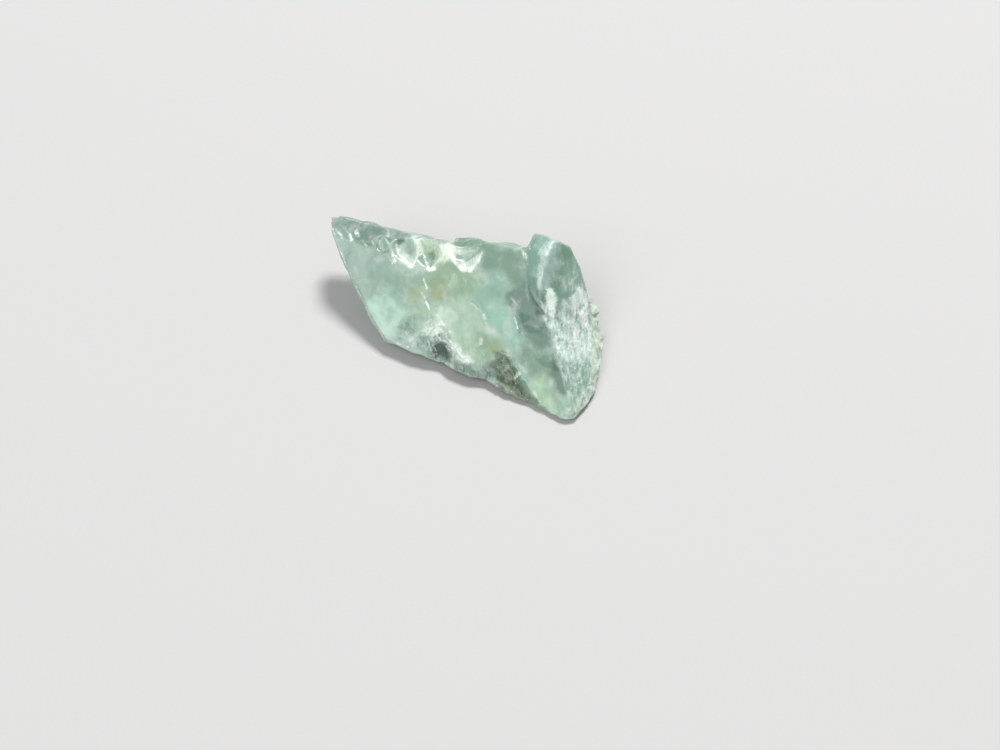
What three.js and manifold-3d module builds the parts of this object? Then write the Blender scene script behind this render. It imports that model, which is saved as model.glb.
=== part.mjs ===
// A broken piece of pale green fluorite, 33 mm from its pointed end to its lowest corner.
// Millimetres, +Z up. It lies on a flat cleavage face in the plane Z = 0, and the origin is the
// middle of its footprint there. -X is the thin pointed end, +X the rough granular end, and the
// broad glassy front face slopes down towards -Y.

import * as THREE from "three";
import { ConvexGeometry } from "three/addons/geometries/ConvexGeometry.js";
import { ImprovedNoise } from "three/addons/math/ImprovedNoise.js";
import { mergeVertices } from "three/addons/utils/BufferGeometryUtils.js";
import Module from "manifold-3d";

const wasm = await Module();
wasm.setup();

// The front cleavage face is the plane z = FRONT_HEIGHT + FRONT_RISE_X x + FRONT_RISE_Y y
const FRONT_HEIGHT = 5.33;
const FRONT_RISE_X = 0.306;
const FRONT_RISE_Y = 0.704;

// The front face's outline, as x and y of points on its plane
const CREST_LEFT = [[-13.2, 7.2], [-11.6, 6.6], [-8.6, 5.5], [-5.1, 4.3], [-2.1, 4.0]];
const CREST_RIGHT = [[-2.1, 4.0], [0.2, 4.1], [2.3, 4.2], [5.4, 3.2]];
const LEFT_RIM = [[-12.3, 5.7], [-11.3, 3.8], [-10.4, 2.1], [-9.3, 0.2], [-8.5, -0.7], [-7.9, -1.6]];
const FRONT_EDGE = [[-6.0, -3.0], [-3.5, -4.2], [0.4, -6.2], [3.5, -7.8], [9.0, -11.0]];
const RIDGE = [[6.9, -1.5], [7.9, -3.7], [8.6, -5.7], [9.5, -8.2], [10.1, -10.0]];

// Corners of the thin blade that are not on the front face
const TIP = [[-13.8, 10.8, 5.9], [-13.0, 11.1, 5.8], [-13.8, 10.0, 6.0], [-13.4, 7.9, 6.0]];
const LEFT_EDGE = [
  [-12.6, 5.7, 5.2], [-11.6, 3.9, 4.2], [-10.8, 2.3, 3.3],
  [-10.1, 1.1, 2.6], [-9.6, 0.2, 2.1], [-8.1, -1.7, 1.3],
];
const BLADE_BACK = [
  [-10.7, 10.4, 5.7], [-8.8, 10.0, 5.7], [-6.8, 9.4, 5.6], [-4.5, 8.4, 5.7], [-2.0, 7.2, 6.2],
  [-9.8, 8.8, 3.1], [-4.0, 8.5, 2.7],
];
const BLADE_BASE = [
  [-6.4, 5.4, 0], [-6.0, 2.4, 0], [-4.6, -0.4, 0], [-1.0, -3.0, 0],
  [1.0, -4.0, 0], [1.0, 6.8, 0], [-4.4, 7.0, 0],
];

// Corners of the thick block behind the ridge that are not on the front face
const BLOCK_BACK = [
  [-1.1, 6.5, 7.4], [0.3, 6.2, 7.8], [1.3, 5.8, 8.0], [3.3, 4.4, 8.7], [5.8, 4.0, 8.6],
  [1.0, 8.8, 2.9], [6.0, 8.0, 3.4], [10.4, 5.6, 2.9],
];
const GRANULAR_EDGE = [
  [11.4, 2.9, 4.2], [12.4, 2.6, 3.0], [12.8, 0.9, 2.2], [13.4, -1.4, 1.3], [13.2, -3.4, 1.0],
  [13.0, -5.6, 0.8], [12.7, -7.5, 0.6], [11.8, -9.1, 0.5], [10.7, -10.6, 0.5], [10.3, -11.1, 0.4],
  [9.2, -11.2, 0.4],
];
const BLOCK_BASE = [
  [-1.0, -3.0, 0], [4.0, -6.4, 0], [8.2, -9.6, 0], [10.2, -10.1, 0], [12.0, -7.6, 0], [12.4, -4.0, 0],
  [12.2, -0.5, 0], [11.3, 2.0, 0], [9.2, 4.6, 0], [5.0, 6.8, 0], [0.0, 7.4, 0],
];

// The slab that stands up at the back of the granular end: top, crest, lower edge, foot, inner side
const SLAB = [
  [6.0, 3.5, 9.1], [6.8, 5.2, 9.4], [8.7, 4.0, 9.6], [7.8, 2.0, 9.3], [7.2, -0.1, 8.2], [6.9, -1.7, 6.5],
  [10.2, 4.3, 8.4], [10.8, 3.8, 7.4], [11.5, 2.9, 5.6], [11.6, 2.2, 5.2], [8.0, -0.2, 7.0], [9.3, 0.2, 6.2],
  [8.2, -0.9, 6.0], [9.6, -0.4, 5.2], [11.9, 1.8, 4.1],
  [8.8, -3.6, 4.3], [10.6, -3.4, 3.0], [12.5, -0.8, 2.2],
  [5.2, 1.9, 8.0], [5.5, 1.0, 7.5], [6.3, -0.5, 6.7], [6.6, 0.4, 4.0], [7.6, 5.6, 4.6],
];

// Chips out of the front face's edges: each has its mouth on the face, inner corners, and the way out
const UP_AND_BACK = [-0.1, 0.8, 0.6];
const OFF_THE_FACE = [-0.24, -0.56, 0.79];
const CHIP_REACH = 3;
const CHIPS = [
  { mouth: [[-9.0, 5.7], [-8.3, 5.1], [-7.5, 5.1]], inner: [[-8.3, 6.2, 6.1]], out: UP_AND_BACK },
  { mouth: [[-7.5, 5.0], [-5.5, 3.6], [-4.7, 4.3]], inner: [[-5.7, 5.6, 5.9]], out: UP_AND_BACK },
  { mouth: [[-4.9, 4.1], [-3.6, 2.9], [-2.5, 3.9]], inner: [[-3.4, 5.2, 5.9]], out: UP_AND_BACK },
  { mouth: [[-1.6, 3.8], [0.1, 2.3], [1.8, 3.8]], inner: [[0.2, 3.7, 7.2]], out: OFF_THE_FACE },
  {
    mouth: [[-4.1, -3.0], [-2.5, -2.8], [-1.1, -4.4], [-1.6, -5.6], [-3.9, -4.6]],
    inner: [[-2.7, -3.9, 1.2]],
    out: OFF_THE_FACE,
  },
  {
    mouth: [[0.2, -5.3], [2.2, -4.6], [4.3, -4.8], [5.3, -6.7], [7.3, -9.6], [6.6, -10.6], [0.0, -7.0]],
    inner: [[2.7, -6.1, 1.1], [4.4, -7.2, 0.9], [6.2, -9.2, 0.5]],
    out: OFF_THE_FACE,
  },
];

// Shell-shaped hollows left by flakes: middle, radius and depth of a lens that faces out
const RIDGE_SCARS = [
  { at: [7.9, -1.7, 6.5], out: OFF_THE_FACE, radius: 3.3, depth: 0.36 },
  { at: [9.0, -4.9, 4.6], out: OFF_THE_FACE, radius: 2.9, depth: 0.26 },
];
const BACK_SCARS = [
  { at: [-7.4, 8.9, 4.0], out: [-0.3, 0.85, -0.4], radius: 2.8, depth: 0.7 },
  { at: [9.3, 6.0, 5.0], out: [0.5, 0.85, 0.1], radius: 2.4, depth: 0.7 },
];
const SCAR_RIPPLES = 3;
const SCAR_RIPPLE_HEIGHT = 0.04;
const SCAR_RINGS = 8;
const SCAR_SIDES = 20;

// Cleavage steps down the back: the inner corner of each block taken off, its size and its turn
const BACK_STEPS = [
  { corner: [-3.4, 7.3, 3.9], size: [7.4, 4, 3.4], turn: [0.12, 0.08, -0.2] },
  { corner: [3.6, 7.1, 1.9], size: [5.4, 4, 5], turn: [0.2, -0.12, -0.42] },
  { corner: [-6.6, 6.9, 1.6], size: [5, 4, 3], turn: [-0.1, 0.1, 0.3] },
];

// The part of the low front edge that has crumbled away, seen from above
const CRUMBLED_EDGE = [[-0.6, -5.75], [2.2, -7.1], [5.1, -8.5], [7.1, -9.55], [9.1, -11.2], [4.0, -10.5]];
const CRUMBLED_HEIGHT = 4;

// Crumbs of the granular end, spaced along the first share of its edge and set in from it
const CRUMB_COUNT = 10;
const CRUMBLY_SHARE = 0.6;
const CRUMB_PLACE = [0.25, 0.75];
const CRUMB_RADIUS = [0.65, 1];
const CRUMB_WIDTH = [1, 1.4];
const CRUMB_HEIGHT = [0.6, 0.8];
const CRUMB_INSET = 0.9;
const CRUMB_LOWEST = 0.55;
const GRANULAR_MIDDLE = [8, -3.5];
const CRUMB_SEED = 7;
const DRAWS_PER_CRUMB = 31;

// Relief of each kind of surface, and the longest triangle edge that follows it
const FINISH = {
  glassy: { relief: 0.06, edge: 2.2 },
  back: { relief: 0.3, edge: 1.3 },
  granular: { relief: 0.09, edge: 0.7 },
  ledge: { relief: 0.2, edge: 0.65 },
  margin: { relief: 0.14, edge: 0.7 },
};
const RESTING_EDGE = 6;
const RELIEF_SCALES = [{ perMm: 0.55, share: 0.6 }, { perMm: 1.25, share: 0.4 }];
const RELIEF_SHIFTS = [3.7, 11.3, 23.9];
const LOWEST_WALL = 0.12;

// The flat faces, each by three of its points, and the middle of the crumbled ledge
const BEVEL_FACE = [[-13.3, 7.3, 6.4], [-5.1, 4.3, 6.5], [-4.5, 8.4, 5.7]];
const GRANULAR_FACE = [[6.9, -1.5, 6.3], [10.1, -10.0, 1.4], [13.1, -3.4, 1.0]];
const RIDGE_WALL = [[6.9, -1.5, 0], [6.9, -1.5, 6.3], [10.1, -10.0, 1.4]];
const BEVEL_HEIGHT = 6;
const LEDGE_MIDDLE = [3.7, -7.2, 1.1];

// How far each kind of surface reaches: in full up to the first distance, gone at the second
const FRONT_BAND = [0.12, 0.5];
const BEVEL_BAND = [0.15, 0.6];
const BEVEL_HEIGHT_BAND = [0.9, 1.2];
const GRANULAR_BAND = [0.4, 0.9];
const RIDGE_BAND = [0, 0.8];
const LEDGE_BAND = [1.6, 3.4];
const MARGIN_BAND = [0.9, 2.2];

// The depth planed off the front face and off the resting face, which leaves each a single plane
const PLANED = 0.02;
const PLANE_REACH = 60;
// How far from one plane two triangles may be and still share a flat face, there and elsewhere
const FLATNESS = 5e-5;
const LOOSE_FLATNESS = 0.03;
const SHORTEST_EDGE = 0.12;
const SAME_POINT = 1e-4;
const DIAGONAL_PASSES = 12;
const SAME_SIDE = 0.9;

const onFront = ([x, y]) => [x, y, FRONT_HEIGHT + FRONT_RISE_X * x + FRONT_RISE_Y * y];
const vector = (corner) => new THREE.Vector3(...corner);
const FRONT_NORMAL = vector([-FRONT_RISE_X, -FRONT_RISE_Y, 1]).normalize();

// A closed geometry as a solid: shared vertices are merged and collapsed triangles dropped
function solidOf(geometry) {
  const bare = geometry.index ? geometry.toNonIndexed() : geometry.clone();
  bare.deleteAttribute("normal");
  bare.deleteAttribute("uv");
  const merged = mergeVertices(bare, SAME_POINT);
  const kept = [];
  for (let i = 0; i < merged.index.count; i += 3) {
    const [a, b, c] = merged.index.array.slice(i, i + 3);
    if (a !== b && b !== c && c !== a) kept.push(a, b, c);
  }
  const vertProperties = merged.attributes.position.array;
  return new wasm.Manifold(new wasm.Mesh({ numProp: 3, vertProperties, triVerts: new Uint32Array(kept) }));
}

const hull = (corners) => solidOf(new ConvexGeometry(corners.map(vector)));

// A wedge with its mouth on the front face, open to the outside, that narrows to its inner corners
function chip({ mouth, inner, out }) {
  const rim = mouth.map(onFront);
  const outside = rim.map((corner) => vector(corner).addScaledVector(vector(out), CHIP_REACH).toArray());
  return hull([...rim, ...outside, ...inner]);
}

// A large block whose flat side is the given plane, on the plane's positive side
function beyond(normal, point) {
  const box = new THREE.BoxGeometry(PLANE_REACH, PLANE_REACH, PLANE_REACH);
  box.translate(0, 0, PLANE_REACH / 2);
  box.applyQuaternion(new THREE.Quaternion().setFromUnitVectors(new THREE.Vector3(0, 0, 1), normal));
  box.translate(...point);
  return solidOf(box);
}

// A lens with a rippled lower side, as the shell-shaped break of a struck flake
function flakeScar({ at, out, radius, depth }) {
  const profile = [];
  for (let i = 0; i <= SCAR_RINGS; i++) {
    const share = i / SCAR_RINGS;
    const ripple = SCAR_RIPPLE_HEIGHT * Math.sin(share * SCAR_RIPPLES * 2 * Math.PI);
    profile.push(new THREE.Vector2(radius * share, -depth * (1 - share * share) + ripple * (1 - share)));
  }
  profile[0].x = 0;
  profile.push(new THREE.Vector2(radius, radius), new THREE.Vector2(0, radius));
  const lens = new THREE.LatheGeometry(profile, SCAR_SIDES);
  const upright = new THREE.Vector3(0, 1, 0);
  lens.applyQuaternion(new THREE.Quaternion().setFromUnitVectors(upright, vector(out).normalize()));
  lens.translate(...at);
  return solidOf(lens);
}

function backStep({ corner, size, turn }) {
  const box = new THREE.BoxGeometry(...size);
  box.translate(size[0] / 2, size[1] / 2, size[2] / 2);
  box.applyMatrix4(new THREE.Matrix4().makeRotationFromEuler(new THREE.Euler(...turn)));
  box.translate(...corner);
  return solidOf(box);
}

// Rough many-sided crumbs along the edge of the granular end
function crumbs() {
  const edge = new THREE.CatmullRomCurve3(GRANULAR_EDGE.map(vector));
  const solids = [];
  for (let i = 0; i < CRUMB_COUNT; i++) {
    const draw = (number) => THREE.MathUtils.seededRandom(CRUMB_SEED + DRAWS_PER_CRUMB * i + number);
    const between = (range, number) => THREE.MathUtils.lerp(...range, draw(number));
    const radius = between(CRUMB_RADIUS, 1);
    const crumb = new THREE.DodecahedronGeometry(radius);
    crumb.rotateX(2 * Math.PI * draw(2)).rotateZ(2 * Math.PI * draw(3));
    crumb.scale(between(CRUMB_WIDTH, 4), between(CRUMB_WIDTH, 5), between(CRUMB_HEIGHT, 6));
    const at = edge.getPointAt((CRUMBLY_SHARE * (i + between(CRUMB_PLACE, 7))) / CRUMB_COUNT);
    const inwards = new THREE.Vector2(...GRANULAR_MIDDLE).sub(at).setLength(CRUMB_INSET);
    crumb.translate(at.x + inwards.x, at.y + inwards.y, Math.max(at.z, CRUMB_LOWEST));
    solids.push(solidOf(crumb));
  }
  return solids;
}

function brokenForm() {
  const blade = hull([
    ...[...CREST_LEFT, ...CREST_RIGHT.slice(1, 2), ...LEFT_RIM, ...FRONT_EDGE.slice(0, 3)].map(onFront),
    ...TIP, ...LEFT_EDGE, ...BLADE_BACK, ...BLADE_BASE,
  ]);
  const block = hull([
    ...[...CREST_RIGHT, ...FRONT_EDGE.slice(1), ...RIDGE].map(onFront),
    ...BLOCK_BACK, ...GRANULAR_EDGE, ...BLOCK_BASE,
  ]);
  const planedFront = vector(onFront([0, 0])).addScaledVector(FRONT_NORMAL, -PLANED);
  let form = blade.add(block).subtract(beyond(FRONT_NORMAL, planedFront));
  for (const scar of RIDGE_SCARS) form = form.subtract(flakeScar(scar));
  form = form.add(hull(SLAB));
  for (const crumb of crumbs()) form = form.add(crumb);
  for (const wedge of CHIPS) form = form.subtract(chip(wedge));
  for (const scar of BACK_SCARS) form = form.subtract(flakeScar(scar));
  for (const step of BACK_STEPS) form = form.subtract(backStep(step));
  form = form.subtract(hull(CRUMBLED_EDGE.flatMap(([x, y]) => [[x, y, -1], [x, y, CRUMBLED_HEIGHT]])));
  return form.subtract(beyond(new THREE.Vector3(0, 0, -1), new THREE.Vector3(0, 0, PLANED)));
}

// Planes whose positive side is outside, and for the ridge wall the side of the granular end
const planeThrough = (corners) => new THREE.Plane().setFromCoplanarPoints(...corners.map(vector));
const FRONT_PLANE = new THREE.Plane().setFromNormalAndCoplanarPoint(FRONT_NORMAL, vector(onFront([0, 0])));
const BEVEL_PLANE = planeThrough(BEVEL_FACE);
const GRANULAR_PLANE = planeThrough(GRANULAR_FACE);
const RIDGE_PLANE = planeThrough(RIDGE_WALL);
const EDGE_CORNERS = GRANULAR_EDGE.map(vector);
const RESTING_BAND = PLANED + 1e-3;

const beyondBand = (distance, band) => THREE.MathUtils.smoothstep(distance, ...band);
const near = (distance, band) => 1 - beyondBand(Math.abs(distance), band);

// The share of each kind of surface at a point
function sharesAt(point) {
  const granularHeight = GRANULAR_PLANE.distanceToPoint(point);
  const toEdge = Math.min(...EDGE_CORNERS.map((corner) => point.distanceTo(corner)));
  const pastRidge = beyondBand(RIDGE_PLANE.distanceToPoint(point), RIDGE_BAND);
  const granular = near(granularHeight, GRANULAR_BAND) * pastRidge;
  const glassy = Math.max(
    near(FRONT_PLANE.distanceToPoint(point), FRONT_BAND),
    near(BEVEL_PLANE.distanceToPoint(point), BEVEL_BAND) * near(point.z - BEVEL_HEIGHT, BEVEL_HEIGHT_BAND),
    beyondBand(granularHeight, GRANULAR_BAND),
  );
  return {
    glassy,
    granular,
    ledge: near(point.distanceTo(vector(LEDGE_MIDDLE)), LEDGE_BAND),
    margin: near(toEdge, MARGIN_BAND),
    back: 1 - Math.max(glassy, granular),
  };
}

function reliefAt(point) {
  const shares = sharesAt(point);
  return Math.max(...Object.keys(shares).map((kind) => shares[kind] * FINISH[kind].relief));
}

function longestEdgeAt(point) {
  if (point.z < RESTING_BAND) return RESTING_EDGE;
  const shares = sharesAt(point);
  const limits = Object.keys(shares).map((kind) =>
    THREE.MathUtils.lerp(FINISH.glassy.edge, FINISH[kind].edge, shares[kind]),
  );
  return Math.min(...limits);
}

const edgeKey = (a, b) => (a < b ? `${a} ${b}` : `${b} ${a}`);

// Splits the edges that are longer than their place allows, once
function splitLongEdges(points, triangles) {
  const middles = new Map();
  const middleOf = (a, b) => {
    const key = edgeKey(a, b);
    if (!middles.has(key)) {
      const middle = points[a].clone().lerp(points[b], 0.5);
      const long = points[a].distanceTo(points[b]) > longestEdgeAt(middle);
      middles.set(key, long ? points.push(middle) - 1 : null);
    }
    return middles.get(key);
  };
  return triangles.flatMap(([a, b, c]) => {
    return splitTriangle([a, b, c], [middleOf(a, b), middleOf(b, c), middleOf(c, a)]);
  });
}

// One triangle, cut at those of its edges that have a middle
function splitTriangle([a, b, c], [ab, bc, ca]) {
  const count = [ab, bc, ca].filter((middle) => middle !== null).length;
  if (count === 0) return [[a, b, c]];
  if (count === 3) return [[a, ab, ca], [ab, b, bc], [ca, bc, c], [ab, bc, ca]];
  if (count === 1) {
    if (ab !== null) return [[a, ab, c], [ab, b, c]];
    if (bc !== null) return [[a, b, bc], [a, bc, c]];
    return [[a, b, ca], [ca, b, c]];
  }
  if (ab === null) return [[bc, c, ca], [a, b, bc], [a, bc, ca]];
  if (bc === null) return [[a, ab, ca], [ab, b, c], [ab, c, ca]];
  return [[ab, b, bc], [a, ab, bc], [a, bc, c]];
}

// How firmly a point holds its place: on the resting face, on the front face, or elsewhere
function holdOf(point) {
  if (point.z < RESTING_BAND) return 2;
  return Math.abs(FRONT_PLANE.distanceToPoint(point) + PLANED) < FLATNESS ? 1 : 0;
}

// Joins the ends of one short edge after another, where that leaves the surface closed
function joinShortEdges(points, triangles) {
  let current = triangles;
  for (;;) {
    const ring = points.map(() => new Set());
    for (const corners of current) {
      for (const from of corners) corners.forEach((to) => ring[from].add(to));
    }
    const busy = new Set();
    const joined = new Map();
    for (const corners of current) {
      for (let side = 0; side < 3; side++) {
        const pair = [corners[side], corners[(side + 1) % 3]];
        const [stays, goes] = holdOf(points[pair[0]]) >= holdOf(points[pair[1]]) ? pair : pair.reverse();
        if (points[stays].distanceTo(points[goes]) > SHORTEST_EDGE) continue;
        const shared = [...ring[stays]].filter((corner) => ring[goes].has(corner));
        const around = [...ring[stays], ...ring[goes]];
        if (shared.length !== 4 || around.some((corner) => busy.has(corner))) continue;
        joined.set(goes, stays);
        around.forEach((corner) => busy.add(corner));
      }
    }
    if (joined.size === 0) return current;
    current = current
      .map((corners) => corners.map((corner) => joined.get(corner) ?? corner))
      .filter(([a, b, c]) => a !== b && b !== c && c !== a);
  }
}

// Turns the diagonals of flat pairs of triangles so that no triangle is thinner than it has to be
function turnThinDiagonals(points, triangles) {
  for (let pass = 0; pass < DIAGONAL_PASSES; pass++) {
    const sides = new Map();
    triangles.forEach(([a, b, c], index) => {
      for (const [from, to, opposite] of [[a, b, c], [b, c, a], [c, a, b]]) {
        const key = edgeKey(from, to);
        if (!sides.has(key)) sides.set(key, []);
        sides.get(key).push({ index, from, to, opposite });
      }
    });
    const turned = new Set();
    for (const pair of sides.values()) {
      if (pair.length !== 2 || turned.has(pair[0].index) || turned.has(pair[1].index)) continue;
      const [{ index: left, from, to, opposite: c }, { index: right, opposite: d }] = pair;
      if (sides.has(edgeKey(c, d)) || !betterTurned(...[from, to, c, d].map((i) => points[i]))) continue;
      triangles[left] = [from, d, c];
      triangles[right] = [d, to, c];
      turned.add(left).add(right);
      sides.set(edgeKey(c, d), []);
    }
    if (turned.size === 0) return;
  }
}

// Whether the flat pair (a, b, c) and (b, a, d) is better cut from c to d than from a to b
function betterTurned(a, b, c, d) {
  const first = new THREE.Triangle(a, b, c);
  const second = new THREE.Triangle(b, a, d);
  const larger = first.getArea() > second.getArea() ? first : second;
  const plane = larger.getPlane(new THREE.Plane());
  const corners = [a, b, c, d];
  const flatness = corners.some((corner) => holdOf(corner) > 0) ? FLATNESS : LOOSE_FLATNESS;
  if (corners.some((corner) => Math.abs(plane.distanceToPoint(corner)) > flatness)) return false;
  const angleAt = (corner) => a.clone().sub(corner).angleTo(b.clone().sub(corner));
  if (angleAt(c) + angleAt(d) < Math.PI + 1e-3) return false;
  return [[a, d, c], [d, b, c]].every((turned) => {
    const normal = new THREE.Triangle(...turned).getNormal(new THREE.Vector3());
    return normal.dot(plane.normal) > SAME_SIDE;
  });
}

// Moves each point by smooth noise, as high as the relief is at that place
function weather(points) {
  const noise = new ImprovedNoise();
  const noiseAt = (p, shift) =>
    RELIEF_SCALES.reduce(
      (sum, { perMm, share }) =>
        sum + share * noise.noise(p.x * perMm + shift, p.y * perMm + 2 * shift, p.z * perMm - shift),
      0,
    );
  for (const point of points) {
    if (point.z < RESTING_BAND) continue;
    const offset = vector(RELIEF_SHIFTS.map((shift) => noiseAt(point, shift)));
    point.addScaledVector(offset, 2 * reliefAt(point));
    point.z = Math.max(point.z, LOWEST_WALL);
  }
}

function brokenStone() {
  const mesh = brokenForm().getMesh();
  const points = [];
  for (let i = 0; i < mesh.vertProperties.length; i += 3) {
    points.push(new THREE.Vector3().fromArray(mesh.vertProperties, i));
  }
  let triangles = [];
  for (let i = 0; i < mesh.triVerts.length; i += 3) triangles.push(Array.from(mesh.triVerts.slice(i, i + 3)));
  triangles = joinShortEdges(points, triangles);
  for (;;) {
    turnThinDiagonals(points, triangles);
    const finer = splitLongEdges(points, triangles);
    if (finer.length === triangles.length) break;
    triangles = finer;
  }
  weather(points);
  const loose = new THREE.BufferGeometry().setFromPoints(points).setIndex(triangles.flat()).toNonIndexed();
  const geometry = mergeVertices(loose, SAME_POINT);
  const box = new THREE.Box3().setFromBufferAttribute(geometry.attributes.position);
  const middle = box.getCenter(new THREE.Vector3());
  geometry.translate(-middle.x, -middle.y, -box.min.z);
  return geometry;
}

const paleGreen = new THREE.MeshStandardMaterial({ color: 0x9dc3ae, roughness: 0.25, metalness: 0 });
const fluorite = new THREE.Mesh(brokenStone(), paleGreen);
fluorite.name = "fluorite";

const part = new THREE.Group();
part.add(fluorite);

export default part;
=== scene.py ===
"""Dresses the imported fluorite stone: fine surface, crystal material, floor, light and camera.

Sizes are in metres in the part's own frame unless a name ends in _mm. The stone lies on the plane
Z = 0 with its glassy front face sloping down towards -Y and its granular end on the +X side.
"""

import logging
import math
import random
from dataclasses import dataclass, field
from enum import Enum
from typing import Optional

import bpy
import numpy as np
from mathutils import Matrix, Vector, noise


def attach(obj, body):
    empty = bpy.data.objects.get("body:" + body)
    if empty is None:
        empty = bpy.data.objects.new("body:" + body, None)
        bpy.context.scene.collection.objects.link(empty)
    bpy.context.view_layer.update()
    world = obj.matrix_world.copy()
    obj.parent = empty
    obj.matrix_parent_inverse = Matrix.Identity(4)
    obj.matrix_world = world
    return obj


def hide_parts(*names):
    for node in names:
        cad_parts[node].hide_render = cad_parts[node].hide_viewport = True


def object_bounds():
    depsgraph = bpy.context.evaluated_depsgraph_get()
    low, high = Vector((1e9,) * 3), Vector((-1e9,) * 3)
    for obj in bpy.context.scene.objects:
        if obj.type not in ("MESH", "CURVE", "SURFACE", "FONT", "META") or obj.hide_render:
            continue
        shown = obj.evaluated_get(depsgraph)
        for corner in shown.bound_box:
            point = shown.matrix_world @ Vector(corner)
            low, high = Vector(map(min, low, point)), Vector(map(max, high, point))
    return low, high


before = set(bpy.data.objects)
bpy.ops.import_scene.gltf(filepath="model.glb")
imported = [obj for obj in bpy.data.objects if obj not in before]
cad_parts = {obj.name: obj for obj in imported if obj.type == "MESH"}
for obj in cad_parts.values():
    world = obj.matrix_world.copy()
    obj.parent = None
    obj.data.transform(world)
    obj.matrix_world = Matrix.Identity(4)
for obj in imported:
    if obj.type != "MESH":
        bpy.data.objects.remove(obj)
CAD_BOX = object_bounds()

logging.basicConfig(level=logging.INFO, format="%(message)s")
log = logging.getLogger("fluorite")

MM = 0.001
Point = tuple[float, float, float]
Rgb = tuple[int, int, int]
Span = tuple[float, float]
Socket = bpy.types.NodeSocket

# Outward directions of the sloping front face, of the granular face and of the slab's steep side
FRONT_NORMAL: Point = (-0.243, -0.558, 0.793)
GRANULAR_NORMAL: Point = (0.593, -0.223, 0.774)
STEEP_NORMAL: Point = (0.8, -0.3, 0.5)

# Display colours that several finishes share: fresh fractures and painted highlights, clear depths and the
# dark scar
WHITE: Rgb = (246, 251, 246)
DEPTH: Rgb = (116, 150, 134)
SCAR: Rgb = (88, 100, 72)


def shade(red: int, green: int, blue: int) -> tuple[float, float, float, float]:
    """Turns a display colour into the linear one that a shader takes, by the sRGB curve.

    Args:
        red: Red, 0 to 255.
        green: Green, 0 to 255.
        blue: Blue, 0 to 255.

    Returns:
        The linear colour with full alpha.
    """
    channels = (value / 255 for value in (red, green, blue))
    linear = [value / 12.92 if value <= 0.04045 else ((value + 0.055) / 1.055) ** 2.4 for value in channels]
    return (linear[0], linear[1], linear[2], 1.0)


def select_only(piece: bpy.types.Object) -> None:
    """Makes one object the only selected one, and the active one.

    Args:
        piece: The object to select.
    """
    bpy.ops.object.select_all(action="DESELECT")
    piece.select_set(True)
    bpy.context.view_layer.objects.active = piece


def ramp(values: np.ndarray, start: float, end: float) -> np.ndarray:
    """Smooth step from 0 at start to 1 at end; it falls instead where end is below start.

    Args:
        values: The numbers to map.
        start: Where the result is 0.
        end: Where the result is 1.

    Returns:
        The steps, each from 0 to 1.
    """
    share = np.clip((values - start) / (end - start), 0, 1)
    return share * share * (3 - 2 * share)


class Zone(Enum):
    """Kinds of surface on the stone: each gives every point a share from 0 to 1."""

    FRONT = "front"
    BEVEL = "bevel"
    SLAB = "slab"
    GRANULAR = "granular"
    MARGIN = "margin"
    LEDGE = "ledge"
    BROKEN = "broken"
    RIM = "rim_highlight"
    GLASSY = "glassy"


# Zones that only guide the shaping of the surface: the material doesn't read them
SHAPING_ZONES = (Zone.FRONT, Zone.GLASSY)


@dataclass(frozen=True)
class Facet:
    """A flat face of the stone by a point on it and its outward direction."""

    point_mm: Point
    normal: Point

    def height(self, points_mm: np.ndarray) -> np.ndarray:
        """Gives how far each point is above the facet, in millimetres.

        Args:
            points_mm: Points, one a row.

        Returns:
            The heights.
        """
        normal = np.array(Vector(self.normal).normalized())
        return (points_mm - np.array(self.point_mm)) @ normal

    def facing(self, normals: np.ndarray) -> np.ndarray:
        """Gives the cosine between each direction and the facet's own.

        Args:
            normals: Unit directions, one a row.

        Returns:
            The cosines.
        """
        return normals @ np.array(Vector(self.normal).normalized())


@dataclass(frozen=True)
class ZoneLimits:
    """Where each zone fades in: every span runs from the value without the zone to the full zone.

    A depth is the distance from the zone's facet, a facing the cosine of the angle to it.
    """

    lift_mm: Span = (0.05, 0.3)
    past_ridge_mm: Span = (-0.1, 0.5)
    front_depth_mm: Span = (0.45, 0.2)
    front_facing: Span = (0.93, 0.985)
    bevel_depth_mm: Span = (0.8, 0.4)
    bevel_facing: Span = (0.85, 0.95)
    bevel_end_mm: Span = (1.0, -1.0)
    slab_rise_mm: Span = (0.35, 0.7)
    slab_start_mm: Span = (5.0, 6.0)
    slab_level: Span = (0.2, 0.45)
    granular_depth_mm: Span = (0.9, 0.45)
    granular_facing: Span = (0.45, 0.75)
    margin_reach_mm: Span = (1.7, 0.7)
    margin_over_granular: float = 0.6
    ledge_reach_mm: Span = (3.3, 2.2)
    front_over_ledge_mm: Span = (-0.25, -0.08)
    front_over_ledge: float = 0.9
    rim_turn_per_mm: Span = (0.5, 1.4)


@dataclass(frozen=True)
class Relief:
    """One layer of small relief: a procedural texture that moves the surface of one zone.

    depth is the number of finer layers in a CLOUDS texture.
    """

    zone: Zone
    texture: str
    grain_mm: float
    height_mm: float
    depth: int = 2
    contrast: float = 1.0


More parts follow.
